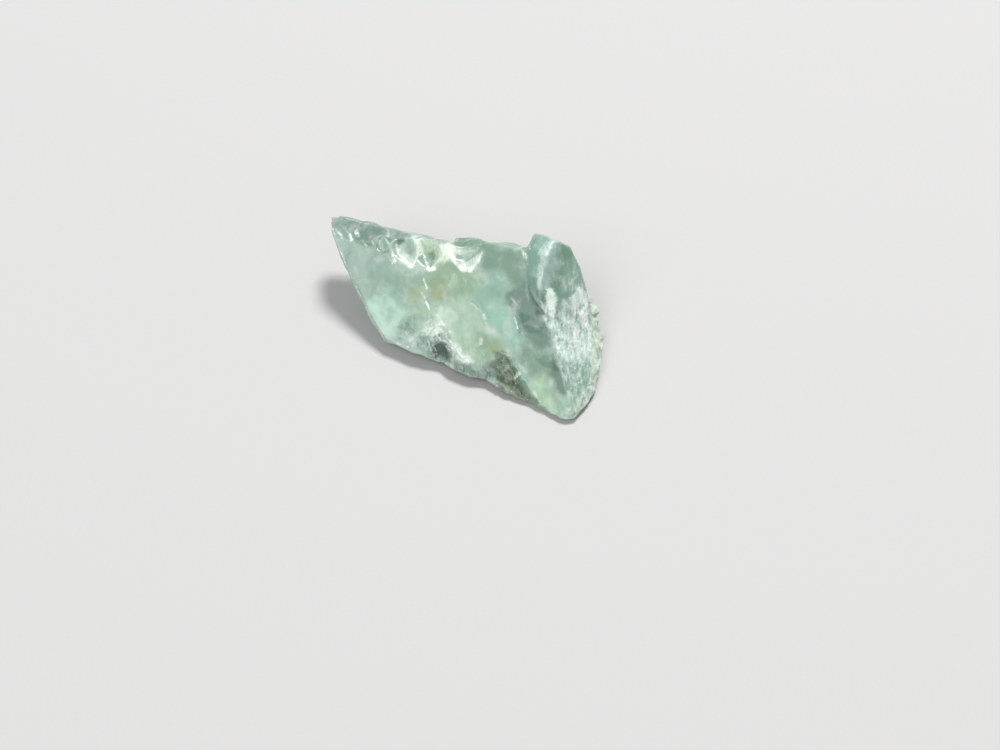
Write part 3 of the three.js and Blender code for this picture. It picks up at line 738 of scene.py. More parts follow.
FLAWS: tuple[Flaw, ...] = (
    # The edges of the blade and of the front face: white lines that paint their highlights
    Flaw(((-13.6, 9.6, 6.1), (-13.3, 8.4, 6.2), (-12.6, 6.3, 5.8), (-11.5, 4.1, 4.5)), 0.12, 0.8),
    Flaw(((-11.5, 4.1, 4.5), (-10.3, 1.9, 3.3), (-9.3, 0.0, 2.1), (-8.0, -1.7, 1.4)), 0.1, 0.65),
    Flaw(((-8.0, -1.7, 1.4), (-5.4, -2.9, 1.5), (-2.5, -4.1, 1.2)), 0.1, 0.6),
    Flaw(((-12.3, 10.7, 5.9), (-9.7, 9.1, 6.6), (-6.6, 7.9, 7.0), (-4.1, 7.1, 7.0)), 0.14, 0.3),
    Flaw(((7.2, -9.4, 0.9), (8.7, -10.8, 0.5), (10.2, -11.0, 0.5)), 0.14, 0.45),
    # Chips and scratches of the tip
    Flaw(((-13.1, 8.9, 6.2), (-12.3, 7.2, 6.3)), 0.13, 0.8, 3, 0.15),
    Flaw(((-12.5, 9.4, 6.2), (-11.9, 8.0, 6.3)), 0.1, 0.4, 3, 0.3),
    Flaw(((-11.7, 8.0, 6.4), (-11.4, 7.0, 6.5)), 0.2, 0.8, 3, 0.1),
    Flaw(((-11.2, 8.8, 6.3), (-10.8, 7.3, 6.5)), 0.17, 0.75, 3, 0.15),
    Flaw(((-10.5, 6.9, 6.7), (-9.8, 6.2, 6.5)), 0.12, 0.6),
    Flaw(((-9.3, 6.5, 6.8), (-9.2, 6.1, 6.7)), 0.14, 0.5),
    Flaw(((-8.5, 6.8, 6.8), (-8.4, 5.9, 6.4)), 0.13, 0.7, 2, 0.1),
    Flaw(((-8.0, 8.5, 6.7), (-7.8, 7.0, 6.9)), 0.12, 0.45, 4, 0.4),
    # The bruised notches of the crest
    Flaw(((-7.7, 5.8, 6.7), (-7.1, 4.2, 6.1)), 0.11, 0.95, 6, 0.35),
    Flaw(((-7.3, 5.9, 6.5), (-6.2, 4.8, 6.2), (-5.4, 3.7, 6.2)), 0.14, 0.95, 9, 0.5),
    Flaw(((-6.4, 5.0, 6.2), (-5.3, 3.7, 6.2)), 0.26, 0.95, 3, 0.2),
    Flaw(((-5.4, 3.6, 6.2), (-4.9, 4.4, 6.6), (-4.4, 5.0, 6.7)), 0.15, 0.95, 3, 0.1),
    Flaw(((-4.6, 5.3, 6.7), (-3.0, 5.2, 7.0), (-1.9, 4.6, 7.7)), 0.16, 0.7, 12, 0.8),
    Flaw(((-4.0, 5.0, 6.4), (-3.8, 3.9, 6.3), (-3.5, 3.0, 6.3)), 0.14, 0.95, 4, 0.14),
    Flaw(((-3.7, 3.1, 6.3), (-3.0, 3.1, 6.5)), 0.26, 1.0, 3, 0.12),
    Flaw(((-3.2, 3.0, 6.4), (-2.9, 3.6, 6.8), (-2.5, 4.3, 7.2)), 0.12, 0.95, 3, 0.15),
    Flaw(((-2.4, 3.1, 6.8), (-1.4, 4.1, 7.6)), 0.1, 0.45, 3, 0.2),
    Flaw(((-1.6, 4.4, 7.8), (-0.9, 3.3, 7.3), (-0.2, 2.6, 7.0)), 0.2, 1.0, 6, 0.3),
    Flaw(((-0.4, 2.7, 7.1), (0.6, 2.4, 7.1)), 0.24, 1.0, 5, 0.25),
    Flaw(((0.5, 2.3, 7.1), (1.2, 2.9, 7.6), (1.9, 3.7, 8.3)), 0.13, 0.95, 4, 0.12),
    Flaw(((-0.5, 4.0, 7.8), (0.2, 2.7, 7.3)), 0.1, 0.7, 9, 0.8),
    Flaw(((-1.4, 4.7, 8.0), (-0.3, 4.4, 8.1), (1.0, 4.1, 8.3), (1.9, 3.8, 8.3)), 0.12, 0.6),
    Flaw(((-4.5, 6.8, 7.2), (-2.2, 6.2, 7.6)), 0.11, 0.5, 2, 0.15),
    # The crack down the middle
    Flaw(((-4.1, 2.4, 5.7), (-3.8, 1.6, 5.2)), 0.13, 0.85),
    Flaw(((-4.3, 1.3, 4.9), (-4.0, 0.8, 4.6)), 0.13, 0.6),
    Flaw(((-3.9, 0.5, 4.4), (-3.5, 0.0, 4.1)), 0.15, 0.9),
    Flaw(((-3.5, 0.0, 4.1), (-3.6, -1.0, 3.5)), 0.12, 0.3),
    # The cracked foot of the front face
    Flaw(((-4.8, -1.5, 2.9), (-3.0, -2.3, 2.6)), 0.1, 0.8, 10, 0.8),
    Flaw(((-3.3, -0.9, 3.5), (-1.9, -2.6, 2.8)), 0.09, 0.75, 10, 1.0),
    Flaw(((-3.9, -2.6, 2.5), (-2.2, -0.8, 3.7)), 0.08, 0.6, 9, 1.2),
    Flaw(((-2.4, -2.3, 2.9), (-1.3, -3.3, 2.5), (-0.1, -4.4, 2.0)), 0.09, 0.9, 6, 0.35),
    Flaw(((-1.6, -3.1, 2.6), (-0.5, -4.2, 2.1), (0.6, -5.1, 1.7)), 0.08, 0.8, 7, 0.5),
    Flaw(((0.0, -4.5, 2.0), (0.7, -5.1, 1.7)), 0.14, 0.85, 6, 0.4),
    Flaw(((-3.1, -2.9, 2.3), (-3.9, -4.1, 1.4)), 0.11, 0.5, 2, 0.1),
    Flaw(((-3.3, -2.8, 2.3), (-2.3, -3.4, 2.1)), 0.1, 0.4, 3, 0.5),
    Flaw(((-5.2, -2.2, 2.1), (-3.6, -3.3, 1.8)), 0.1, 0.4, 4, 0.5),
    Flaw(((-6.4, -1.6, 2.1), (-5.4, -2.5, 1.8)), 0.09, 0.4, 4, 0.6),
    Flaw(((-3.4, -2.5, 2.5), (-3.2, -3.2, 1.9), (-2.9, -3.7, 1.3)), 0.1, 0.7, 5, 0.5),
    Flaw(((-3.4, -3.1, 2.0), (-1.8, -2.6, 2.9)), 0.09, 0.6, 6, 0.5),
    Flaw(((-3.8, -2.1, 2.6), (-4.0, -3.2, 1.8)), 0.14, 0.6, 6, 0.8, True),
    Flaw(((-6.5, -0.7, 2.8), (-5.4, -1.9, 2.2)), 0.14, 0.5, 6, 0.6, True),
    Flaw(((-5.0, -1.9, 2.4), (-4.6, -2.9, 1.8)), 0.08, 0.5, 8, 0.9),
    Flaw(((1.3, -3.2, 3.3), (1.5, -3.8, 3.0)), 0.12, 0.6, 3, 0.4),
    Flaw(((0.6, -3.8, 2.9), (1.8, -4.7, 2.5)), 0.09, 0.3, 4, 0.6),
    # Lines of the blue-green field and of the slate field
    Flaw(((0.6, -0.3, 5.2), (1.7, -1.3, 4.8), (2.0, -2.2, 4.3)), 0.1, 0.4),
    Flaw(((1.8, -1.3, 4.9), (1.9, -1.8, 4.6)), 0.2, 0.75, 2, 0.08),
    Flaw(((4.8, -2.2, 5.1), (5.1, -3.1, 4.6)), 0.13, 0.75),
    Flaw(((5.1, -3.1, 4.6), (5.8, -3.9, 4.3)), 0.1, 0.45, 2, 0.2),
    Flaw(((4.4, -0.5, 6.2), (5.1, -1.2, 5.9)), 0.13, 0.4),
    # The scar and the ledge
    Flaw(((2.7, -4.6, 2.9), (4.6, -5.4, 2.8)), 0.1, 0.5, 5, 0.4),
    Flaw(((3.2, -6.0, 1.7), (5.0, -5.9, 2.4)), 0.09, 0.5, 5, 0.6),
    Flaw(((4.1, -7.4, 0.9), (4.8, -6.9, 1.6), (5.3, -6.7, 2.3)), 0.12, 0.75, 3, 0.2),
    Flaw(((5.0, -6.6, 2.2), (6.1, -8.0, 1.6), (7.2, -9.3, 0.9)), 0.11, 0.7, 3, 0.2),
    Flaw(((2.0, -6.6, 1.1), (3.5, -7.5, 0.8)), 0.1, 0.6, 3, 0.3),
    Flaw(((4.0, -7.8, 0.7), (6.6, -9.2, 0.7)), 0.1, 0.5, 3, 0.3),
    Flaw(((3.9, -4.8, 3.1), (4.6, -5.6, 2.6), (5.7, -6.9, 2.2)), 0.07, 0.4, 6, 0.5),
    Flaw(((3.4, -5.2, 2.4), (4.6, -6.6, 1.6), (5.7, -7.7, 1.2)), 0.07, 0.35, 6, 0.7),
    Flaw(((4.0, -6.7, 1.3), (5.1, -6.0, 2.3)), 0.08, 0.45, 6, 0.8),
    Flaw(((3.4, -5.2, 2.3), (4.6, -6.4, 1.6)), 0.12, 0.6, 5, 0.8, True),
    # Dark lines of the foot
    Flaw(((-2.9, -3.0, 2.2), (-1.9, -3.9, 1.8)), 0.14, 0.5, 4, 0.5, True),
    Flaw(((-5.4, -1.4, 2.7), (-4.6, -2.9, 1.9)), 0.12, 0.45, 5, 0.8, True),
    # The bright bend of the slab and the fine lines beside it
    Flaw(((8.6, 3.8, 9.5), (7.8, 2.0, 9.2), (7.2, 0.0, 8.1), (6.9, -1.3, 6.9)), 0.09, 0.5, 30, 1.0),
    Flaw(((9.8, 3.3, 8.7), (9.0, 0.8, 7.6)), 0.09, 0.4, 10, 0.7, facing=STEEP_NORMAL),
    Flaw(((10.8, 3.2, 7.4), (10.0, 1.0, 6.6)), 0.09, 0.45, 14, 1.0, facing=STEEP_NORMAL),
    # The stripes of the granular face
    Flaw(((8.2, -1.0, 6.4), (8.4, -2.6, 5.5)), 0.2, 0.8, 4, 0.4, facing=GRANULAR_NORMAL),
    Flaw(((9.6, -0.6, 5.4), (9.6, -4.6, 3.9)), 0.1, 0.5, 9, 1.3, facing=GRANULAR_NORMAL),
    Flaw(((11.2, 0.6, 4.8), (11.3, -3.6, 2.8)), 0.12, 0.65, 12, 1.4, facing=GRANULAR_NORMAL),
    Flaw(((11.4, 1.7, 5.2), (11.6, 0.2, 4.1), (11.2, -1.8, 3.4)), 0.09, 0.85, 24, 1.1, facing=STEEP_NORMAL),
    Flaw(((10.2, -3.4, 3.6), (10.8, -7.4, 1.9)), 0.1, 0.3, 10, 1.3, facing=GRANULAR_NORMAL),
    Flaw(((10.0, -0.6, 5.2), (10.2, -4.6, 3.3)), 0.1, 0.5, 7, 1.3, True, GRANULAR_NORMAL),
    Flaw(((11.2, -8.6, 1.2), (10.6, -10.4, 0.8)), 0.12, 0.7, 4, 0.4),
    Flaw(((12.0, -7.6, 1.3), (13.0, -4.0, 1.4), (12.6, 0.4, 2.7)), 0.12, 0.55, 4, 0.5),
)


@dataclass
class Stone:
    """The stone's visible surface, made from its solid.

    Each value that ends in _per_mm is a noise scale in waves for each millimetre, and each one that ends in
    _shift moves the noise to a place of its own.
    """

    node: str = "fluorite"
    voxel: float = 0.00012
    merge_distance: float = 1e-7
    smooth_factor: float = 0.5
    edge_rounds: int = 2
    glassy_rounds: int = 40
    rest_gap_mm: float = 0.02
    mask_steps: int = 20
    noise_roughness: float = 0.6
    noise_spacing: float = 2.1
    noise_layers: int = 4
    drift_mm: float = 0.25
    drift_per_mm: float = 0.45
    drift_shift: float = 31.0
    border_per_mm: float = 1.3
    border_shift: float = 73.0
    least_alpha: float = 1e-4
    bend_mm: float = 0.09
    bend_per_mm: float = 1.6
    bend_shifts: Point = (5.0, 47.0, 89.0)
    fading_per_mm: float = 1.2
    fading_shift: float = 13.0
    fading: Span = (-0.35, 0.15)
    faded_share: float = 0.55
    flaw_seed: int = 11
    glint_share: float = 0.02
    glint_brightness: float = 0.8
    glints_on_crumbs: float = 0.4
    limits: ZoneLimits = ZoneLimits()
    front: Facet = Facet((0.09, 0.03, 5.31), FRONT_NORMAL)
    bevel: Facet = Facet((-13.2, 7.33, 6.38), (-0.06, 0.11, 0.99))
    granular: Facet = Facet((7.0, -1.47, 6.28), GRANULAR_NORMAL)
    ridge: Facet = Facet((7.0, -1.47, 6.28), (0.936, 0.352, 0.0))
    ledge_middle_mm: Point = (3.8, -7.2, 1.1)
    margin_path_mm: tuple[Point, ...] = (
        (11.5, 2.9, 4.2), (12.5, 2.6, 3.0), (12.9, 0.9, 2.2), (13.5, -1.4, 1.3), (13.3, -3.4, 1.0),
        (13.1, -5.6, 0.8), (12.8, -7.5, 0.6), (11.9, -9.1, 0.5), (10.8, -10.6, 0.5),
    )
    reliefs: tuple[Relief, ...] = (
        Relief(Zone.FRONT, "CLOUDS", 2.6, 0.07),
        Relief(Zone.FRONT, "CLOUDS", 0.7, 0.02),
        Relief(Zone.BEVEL, "CLOUDS", 1.2, 0.06),
        Relief(Zone.SLAB, "CLOUDS", 1.6, 0.07),
        Relief(Zone.BROKEN, "CLOUDS", 0.9, 0.08),
        Relief(Zone.BROKEN, "VORONOI", 1.8, 0.1),
        Relief(Zone.GRANULAR, "CLOUDS", 0.9, 0.14),
        Relief(Zone.GRANULAR, "CLOUDS", 0.32, 0.12, 3, 1.4),
        Relief(Zone.MARGIN, "VORONOI", 1.1, 0.1),
        Relief(Zone.MARGIN, "CLOUDS", 0.5, 0.08, 3),
        Relief(Zone.LEDGE, "VORONOI", 1.4, 0.12),
        Relief(Zone.LEDGE, "CLOUDS", 0.6, 0.05),
    )
    piece: Optional[bpy.types.Object] = field(default=None, init=False)

    def build(self) -> bpy.types.Object:
        """Makes the visible surface from a copy of the solid.

        Returns:
            The finished piece, without its material.
        """
        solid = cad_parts[self.node]
        self.piece = bpy.data.objects.new("stone", solid.data.copy())
        bpy.context.scene.collection.objects.link(self.piece)
        self.piece.data.materials.clear()
        self.close_seams()
        self.refine()
        masks = self.measure_zones()
        self.even_out(masks)
        self.raise_relief(masks)
        self.keep_in_box()
        self.paint(masks)
        self.store_masks(masks)
        return self.piece

    def close_seams(self) -> None:
        """Merges the loose triangles of the solid's mesh into one closed surface."""
        select_only(self.piece)
        bpy.ops.object.mode_set(mode="EDIT")
        bpy.ops.mesh.select_all(action="SELECT")
        bpy.ops.mesh.remove_doubles(threshold=self.merge_distance)
        bpy.ops.object.mode_set(mode="OBJECT")

    def apply(self, modifier: bpy.types.Modifier) -> None:
        """Applies one modifier of the piece.

        Args:
            modifier: The modifier to apply.
        """
        select_only(self.piece)
        bpy.ops.object.modifier_apply(modifier=modifier.name)

    def smooth(self, name: str, rounds: int, group: str = "") -> None:
        """Smooths the surface.

        Args:
            name: The modifier's name.
            rounds: How many times the points are evened out.
            group: The vertex group that is smoothed, or all where it is empty.
        """
        modifier = self.piece.modifiers.new(name, "SMOOTH")
        modifier.factor = self.smooth_factor
        modifier.iterations = rounds
        modifier.vertex_group = group
        self.apply(modifier)

    def refine(self) -> None:
        """Gives the surface small even faces, fine enough for grains and worn edges."""
        remesh = self.piece.modifiers.new("fine_faces", "REMESH")
        remesh.mode = "VOXEL"
        remesh.voxel_size = self.voxel
        self.apply(remesh)
        self.smooth("soft_edges", self.edge_rounds)

    def points_mm(self) -> np.ndarray:
        """Gives the places of the surface's points in millimetres, one a row."""
        flat = np.empty(len(self.piece.data.vertices) * 3, np.float32)
        self.piece.data.vertices.foreach_get("co", flat)
        return flat.reshape(-1, 3).astype(float) / MM

    def normals(self) -> np.ndarray:
        """Gives the directions of the surface's points, one a row."""
        flat = np.empty(len(self.piece.data.vertices) * 3, np.float32)
        self.piece.data.vertex_normals.foreach_get("vector", flat)
        return flat.reshape(-1, 3).astype(float)

    def distance_to_margin(self, points_mm: np.ndarray) -> np.ndarray:
        """Gives how far each point is from the outer edge of the granular end.

        Args:
            points_mm: Points, one a row.

        Returns:
            The distances in millimetres.
        """
        path = [np.array(corner) for corner in self.margin_path_mm]
        nearest = np.full(len(points_mm), np.inf)
        for start, end in zip(path, path[1:]):
            along = end - start
            share = np.clip((points_mm - start) @ along / (along @ along), 0, 1)
            gap = points_mm - (start + share[:, None] * along)
            nearest = np.minimum(nearest, np.linalg.norm(gap, axis=1))
        return nearest

    def measure_zones(self) -> dict[Zone, np.ndarray]:
        """Works out how much each point belongs to each zone.

        Returns:
            The shares by zone, from 0 to 1 for each point.
        """
        limits = self.limits
        points, normals = self.points_mm(), self.normals()
        lifted = ramp(points[:, 2], *limits.lift_mm)
        on_front = ramp(np.abs(self.front.height(points)), *limits.front_depth_mm)
        on_front *= ramp(self.front.facing(normals), *limits.front_facing)
        on_bevel = ramp(np.abs(self.bevel.height(points)), *limits.bevel_depth_mm)
        on_bevel *= ramp(points[:, 0], *limits.bevel_end_mm)
        on_bevel *= ramp(self.bevel.facing(normals), *limits.bevel_facing)
        on_granular = ramp(np.abs(self.granular.height(points)), *limits.granular_depth_mm)
        on_granular *= ramp(self.ridge.height(points), *limits.past_ridge_mm)
        on_granular *= ramp(self.granular.facing(normals), *limits.granular_facing)
        slab = ramp(self.granular.height(points), *limits.slab_rise_mm)
        slab *= ramp(points[:, 0], *limits.slab_start_mm)
        slab *= ramp(normals[:, 2], *limits.slab_level)
        slab *= 1 - on_front
        on_margin = ramp(self.distance_to_margin(points), *limits.margin_reach_mm)
        from_ledge = np.linalg.norm(points - np.array(self.ledge_middle_mm), axis=1)
        on_ledge = ramp(from_ledge, *limits.ledge_reach_mm)
        near_front = ramp(self.front.height(points), *limits.front_over_ledge_mm)
        on_ledge *= 1 - limits.front_over_ledge * near_front
        known = np.maximum.reduce([on_front, on_bevel, slab, on_granular])
        return {
            Zone.FRONT: on_front * lifted,
            Zone.BEVEL: on_bevel * lifted,
            Zone.SLAB: slab * lifted,
            Zone.GRANULAR: on_granular * lifted * (1 - limits.margin_over_granular * on_margin),
            Zone.MARGIN: on_margin * lifted,
            Zone.LEDGE: on_ledge * lifted,
            Zone.BROKEN: (1 - known) * lifted,
            # The sharp edges, which the material paints with a highlight
            Zone.RIM: self.sharpness(normals) * lifted,
            Zone.GLASSY: np.maximum(on_front, np.maximum(slab, on_bevel)) * lifted,
        }

    def sharpness(self, normals: np.ndarray) -> np.ndarray:
        """Finds the sharp outer edges from how fast the surface turns.

        Args:
            normals: The directions of the surface's points, one a row.

        Returns:
            The share of edge at each point, from 0 to 1.
        """
        mesh = self.piece.data
        pairs = np.empty(len(mesh.edges) * 2, np.int32)
        mesh.edges.foreach_get("vertices", pairs)
        first, second = pairs.reshape(-1, 2).T
        points = self.points_mm()
        gap = points[second] - points[first]
        outward = np.einsum("ij,ij->i", normals[second] - normals[first], gap)
        outward /= np.einsum("ij,ij->i", gap, gap)
        total = np.zeros(len(points))
        count = np.zeros(len(points))
        for ends in (first, second):
            np.add.at(total, ends, outward)
            np.add.at(count, ends, 1)
        return ramp(total / np.maximum(count, 1), *self.limits.rim_turn_per_mm)

    def group(self, zone: Zone, shares: np.ndarray) -> str:
        """Stores a zone's shares as a vertex group, in even steps.

        Args:
            zone: The zone.
            shares: The share of each point.

        Returns:
            The group's name.
        """
        group = self.piece.vertex_groups.get(zone.value) or self.piece.vertex_groups.new(name=zone.value)
        steps = np.round(shares * self.mask_steps).astype(int)
        for step in range(1, self.mask_steps + 1):
            members = np.nonzero(steps == step)[0]
            if len(members):
                group.add(members.tolist(), step / self.mask_steps, "REPLACE")
        return group.name

    def even_out(self, masks: dict[Zone, np.ndarray]) -> None:
        """Takes the solid's facets out of the glassy faces and keeps the edges crisp.

        Args:
            masks: The shares by zone.
        """
        group = self.group(Zone.GLASSY, masks[Zone.GLASSY])
        self.smooth("glassy_faces", self.glassy_rounds, group)

    def raise_relief(self, masks: dict[Zone, np.ndarray]) -> None:
        """Gives each zone its small relief, up and down by each layer's height.

        Args:
            masks: The shares by zone.
        """
        for number, relief in enumerate(self.reliefs):
            texture = bpy.data.textures.new(f"relief_{number}", relief.texture)
            texture.noise_scale = relief.grain_mm * MM
            texture.contrast = relief.contrast
            if relief.texture == "CLOUDS":
                texture.noise_depth = relief.depth
                texture.noise_basis = "ORIGINAL_PERLIN"
            move = self.piece.modifiers.new(f"relief_{number}", "DISPLACE")
            move.texture = texture
            move.texture_coords = "LOCAL"
            move.strength = relief.height_mm * 2 * MM
            move.mid_level = 0.5
            move.vertex_group = self.group(relief.zone, masks[relief.zone])
            self.apply(move)

    def keep_in_box(self) -> None:
        """Keeps every point inside the solid's box, and the resting face flat on the floor."""
        low, high = (np.array(corner) for corner in CAD_BOX)
        points = np.clip(self.points_mm() * MM, low, high)
        points[points[:, 2] < low[2] + self.rest_gap_mm * MM, 2] = low[2]
        self.piece.data.vertices.foreach_set("co", points.astype(np.float32).ravel())
        self.piece.data.update()

    def wander(self, points_mm: np.ndarray, per_mm: float) -> np.ndarray:
        """Gives a noise value for each point.

        Args:
            points_mm: Points, one a row.
            per_mm: The scale, in waves for each millimetre.

        Returns:
            The noise, about -1 to 1.
        """
        layers = (self.noise_roughness, self.noise_spacing, self.noise_layers)
        scaled = points_mm * per_mm
        return np.array([noise.fractal(point, *layers) for point in scaled.tolist()])

    def draw_flaws(
        self, points_mm: np.ndarray, masks: dict[Zone, np.ndarray]
    ) -> tuple[np.ndarray, np.ndarray]:
        """Works out where the flaws and the glints of the rough parts are.

        Args:
            points_mm: The surface's points, one a row.
            masks: The shares by zone.

        Returns:
            The strength of the bright marks and of the dark ones at each point.
        """
        draws = random.Random(self.flaw_seed)
        bends = [self.wander(points_mm + shift, self.bend_per_mm) for shift in self.bend_shifts]
        bent = points_mm + self.bend_mm * np.stack(bends, axis=1)
        full = ramp(self.wander(points_mm + self.fading_shift, self.fading_per_mm), *self.fading)
        fading = self.faded_share + (1 - self.faded_share) * full
        bright, dark = np.zeros(len(points_mm)), np.zeros(len(points_mm))
        for flaw in FLAWS:
            marks = flaw.marks(bent, draws) * fading
            if flaw.dark:
                dark = np.maximum(dark, marks)
            else:
                bright = np.maximum(bright, marks)
        crumbly = self.glints_on_crumbs * np.maximum(masks[Zone.MARGIN], masks[Zone.LEDGE])
        rough = np.maximum(masks[Zone.GRANULAR], crumbly)
        glints = np.random.default_rng(self.flaw_seed).random(len(points_mm)) < self.glint_share * rough
        return np.maximum(bright, self.glint_brightness * glints), dark

    def paint(self, masks: dict[Zone, np.ndarray]) -> None:
        """Stores the patches and the flaws as attributes, and adds the grainy patches to the granular zone.

        Args:
            masks: The shares by zone.
        """
        points, normals = self.points_mm(), self.normals()
        sight = Sight()
        across, up = sight.seen(points)
        across += self.drift_mm * self.wander(points, self.drift_per_mm)
        up += self.drift_mm * self.wander(points + self.drift_shift, self.drift_per_mm)
        border = self.wander(points + self.border_shift, self.border_per_mm)
        faces = sight.faces(points, normals)
        tint = np.zeros((len(points), 4))
        clear, bruise = np.zeros(len(points)), np.zeros(len(points))
        for patch in PATCHES:
            outside = patch.outside(across, up) + patch.ragged * border
            share = patch.share * ramp(outside, patch.soft, -patch.soft)
            if patch.near:
                share *= faces
            colour = np.array(shade(*patch.tint.value))
            tint = tint * (1 - share[:, None]) + colour * share[:, None]
            clear = clear * (1 - share) + patch.clear * share
            bruise = np.maximum(bruise * (1 - share), patch.bruise * share * faces)
            if patch.grainy is not None:
                masks[Zone.GRANULAR] = masks[Zone.GRANULAR] * (1 - share) + patch.grainy * share
        alpha = np.maximum(tint[:, 3], self.least_alpha)
        tint[:, :3] /= alpha[:, None]
        # The tint holds the crystal's colours together with the painted glow, lightening and dark
        colours = self.piece.data.attributes.new("tint", "FLOAT_COLOR", "POINT")
        colours.data.foreach_set("color", tint.astype(np.float32).ravel())
        bright, dark = self.draw_flaws(points, masks)
        layers = {"clear": clear / alpha, "bruise": bruise, "bright": bright, "dark": dark}
        for name, values in layers.items():
            self.store(name, values)

    def store(self, name: str, values: np.ndarray) -> None:
        """Stores a number for each point as an attribute that the material reads.

        Args:
            name: The attribute's name.
            values: The numbers.
        """
        attribute = self.piece.data.attributes.new(name, "FLOAT", "POINT")
        attribute.data.foreach_set("value", values.astype(np.float32))

    def store_masks(self, masks: dict[Zone, np.ndarray]) -> None:
        """Drops the groups, stores the zones as attributes and shades the surface smooth.

        Args:
            masks: The shares by zone.
        """
        self.piece.vertex_groups.clear()
        for zone, shares in masks.items():
            if zone not in SHAPING_ZONES:
                self.store(zone.value, shares)
        select_only(self.piece)
        bpy.ops.object.shade_smooth()


class Tree:
    """Short ways to add and join shader nodes.

    A Mix node has inputs of its own for each kind of value, so they are picked by number.
    """

    WARP_DETAIL: float = 3.0
    NOISE_MIDDLE: Point = (0.5, 0.5, 0.5)

    def __init__(self, nodes: bpy.types.Nodes, links: bpy.types.NodeLinks) -> None:
        """Keeps the tree's nodes and links.

        Args:
            nodes: The tree's nodes.
            links: The tree's links.
        """
        self.nodes = nodes
        self.links = links

    def put(self, socket: Socket, value: object) -> None:
        """Joins a socket to another one, or sets its value.

        Args:
            socket: The input.
            value: An output socket, or a plain value.
        """
        if isinstance(value, bpy.types.NodeSocket):
            self.links.new(value, socket)
        else:
            socket.default_value = value

    def math(self, operation: str, first: object, second: object) -> Socket:
        """Adds a Math node.

        Args:
            operation: The node's operation.
            first: The first value or socket.
            second: The second value or socket.

        Returns:
            The result.
        """
        node = self.nodes.new("ShaderNodeMath")
        node.operation = operation
        self.put(node.inputs[0], first)
        self.put(node.inputs[1], second)
        return node.outputs[0]

    def product(self, first: object, second: object) -> Socket:
        """Multiplies two numbers.

        Args:
            first: The first value or socket.
            second: The second value or socket.

        Returns:
            The product.
        """
        return self.math("MULTIPLY", first, second)

    def larger(self, first: object, second: object) -> Socket:
        """Takes the larger of two numbers.

        Args:
            first: The first value or socket.
            second: The second value or socket.

        Returns:
            The larger number.
        """
        return self.math("MAXIMUM", first, second)

    def vector(self, operation: str, first: object, second: object) -> Socket:
        """Adds a Vector Math node.

        Args:
            operation: The node's operation.
            first: The first vector or socket.
            second: The second vector or socket.

        Returns:
            The resulting vector.
        """
        node = self.nodes.new("ShaderNodeVectorMath")
        node.operation = operation
        self.put(node.inputs[0], first)
        self.put(node.inputs[1], second)
        return node.outputs["Vector"]

    def times(self, first: Socket, scale: float) -> Socket:
        """Scales a vector.

        Args:
            first: The vector.
            scale: The scale.

        Returns:
            The scaled vector.
        """
        node = self.nodes.new("ShaderNodeVectorMath")
        node.operation = "SCALE"
        self.put(node.inputs[0], first)
        self.put(node.inputs["Scale"], scale)
        return node.outputs["Vector"]

    def step(self, value: Socket, start: float, end: float) -> Socket:
        """Adds a smooth step from 0 at start to 1 at end; it falls instead where end is below start.

        Args:
            value: The value to map.
            start: Where the result is 0.
            end: Where the result is 1.

        Returns:
            The step.
        """
        node = self.nodes.new("ShaderNodeMapRange")
        node.interpolation_type = "SMOOTHSTEP"
        for socket, number in zip(node.inputs, (value, start, end, 0.0, 1.0)):
            self.put(socket, number)
        return node.outputs[0]

    def noise(self, place: Socket, per_mm: float, detail: float, rough: float = 0.5) -> Socket:
        """Adds a Noise node.

        Args:
            place: The place in millimetres.
            per_mm: The scale, in waves for each millimetre.
            detail: The number of finer layers.
            rough: How strong the finer layers are.

        Returns:
            The noise, from 0 to 1.
        """
        node = self.nodes.new("ShaderNodeTexNoise")
        self.put(node.inputs["Vector"], place)
        node.inputs["Scale"].default_value = per_mm
        node.inputs["Detail"].default_value = detail
        node.inputs["Roughness"].default_value = rough
        return node.outputs[0]

    def warped(self, place: Socket, per_mm: float, reach_mm: float) -> Socket:
        """Moves a place by smooth noise.

        Args:
            place: The place in millimetres.
            per_mm: The scale, in waves for each millimetre.
            reach_mm: How far the place moves at the most.

        Returns:
            The moved place.
        """
        node = self.nodes.new("ShaderNodeTexNoise")
        self.put(node.inputs["Vector"], place)
        node.inputs["Scale"].default_value = per_mm
        node.inputs["Detail"].default_value = self.WARP_DETAIL
        offset = self.vector("SUBTRACT", node.outputs["Color"], self.NOISE_MIDDLE)
        return self.vector("ADD", place, self.times(offset, 2 * reach_mm))

    def stretched(self, place: Socket, turn_deg: Point, scale: Point) -> Socket:
        """Turns and stretches a place, for patterns that are drawn out one way.

        Args:
            place: The place in millimetres.
            turn_deg: The turn about each axis in degrees.
            scale: The scale along each axis after the turn.

        Returns:
            The turned and stretched place.
        """
        node = self.nodes.new("ShaderNodeMapping")
        self.links.new(place, node.inputs["Vector"])
        node.inputs["Rotation"].default_value = [math.radians(angle) for angle in turn_deg]
        node.inputs["Scale"].default_value = scale
        return node.outputs[0]

    def mix(self, share: Socket, first: object, second: object) -> Socket:
        """Mixes two colours.

        Args:
            share: The share of the second colour.
            first: The first colour.
            second: The second colour.

        Returns:
            The mixed colour.
        """
        node = self.nodes.new("ShaderNodeMix")
        node.data_type = "RGBA"
        self.put(node.inputs[0], share)
        self.put(node.inputs[6], first)
        self.put(node.inputs[7], second)
        return node.outputs[2]

    def blend(self, share: Socket, first: object, second: object) -> Socket:
        """Mixes two numbers.

        Args:
            share: The share of the second number.
            first: The first number.
            second: The second number.

        Returns:
            The mixed number.
        """
        node = self.nodes.new("ShaderNodeMix")
        node.data_type = "FLOAT"
        self.put(node.inputs[0], share)
        self.put(node.inputs[2], first)
        self.put(node.inputs[3], second)
        return node.outputs[0]


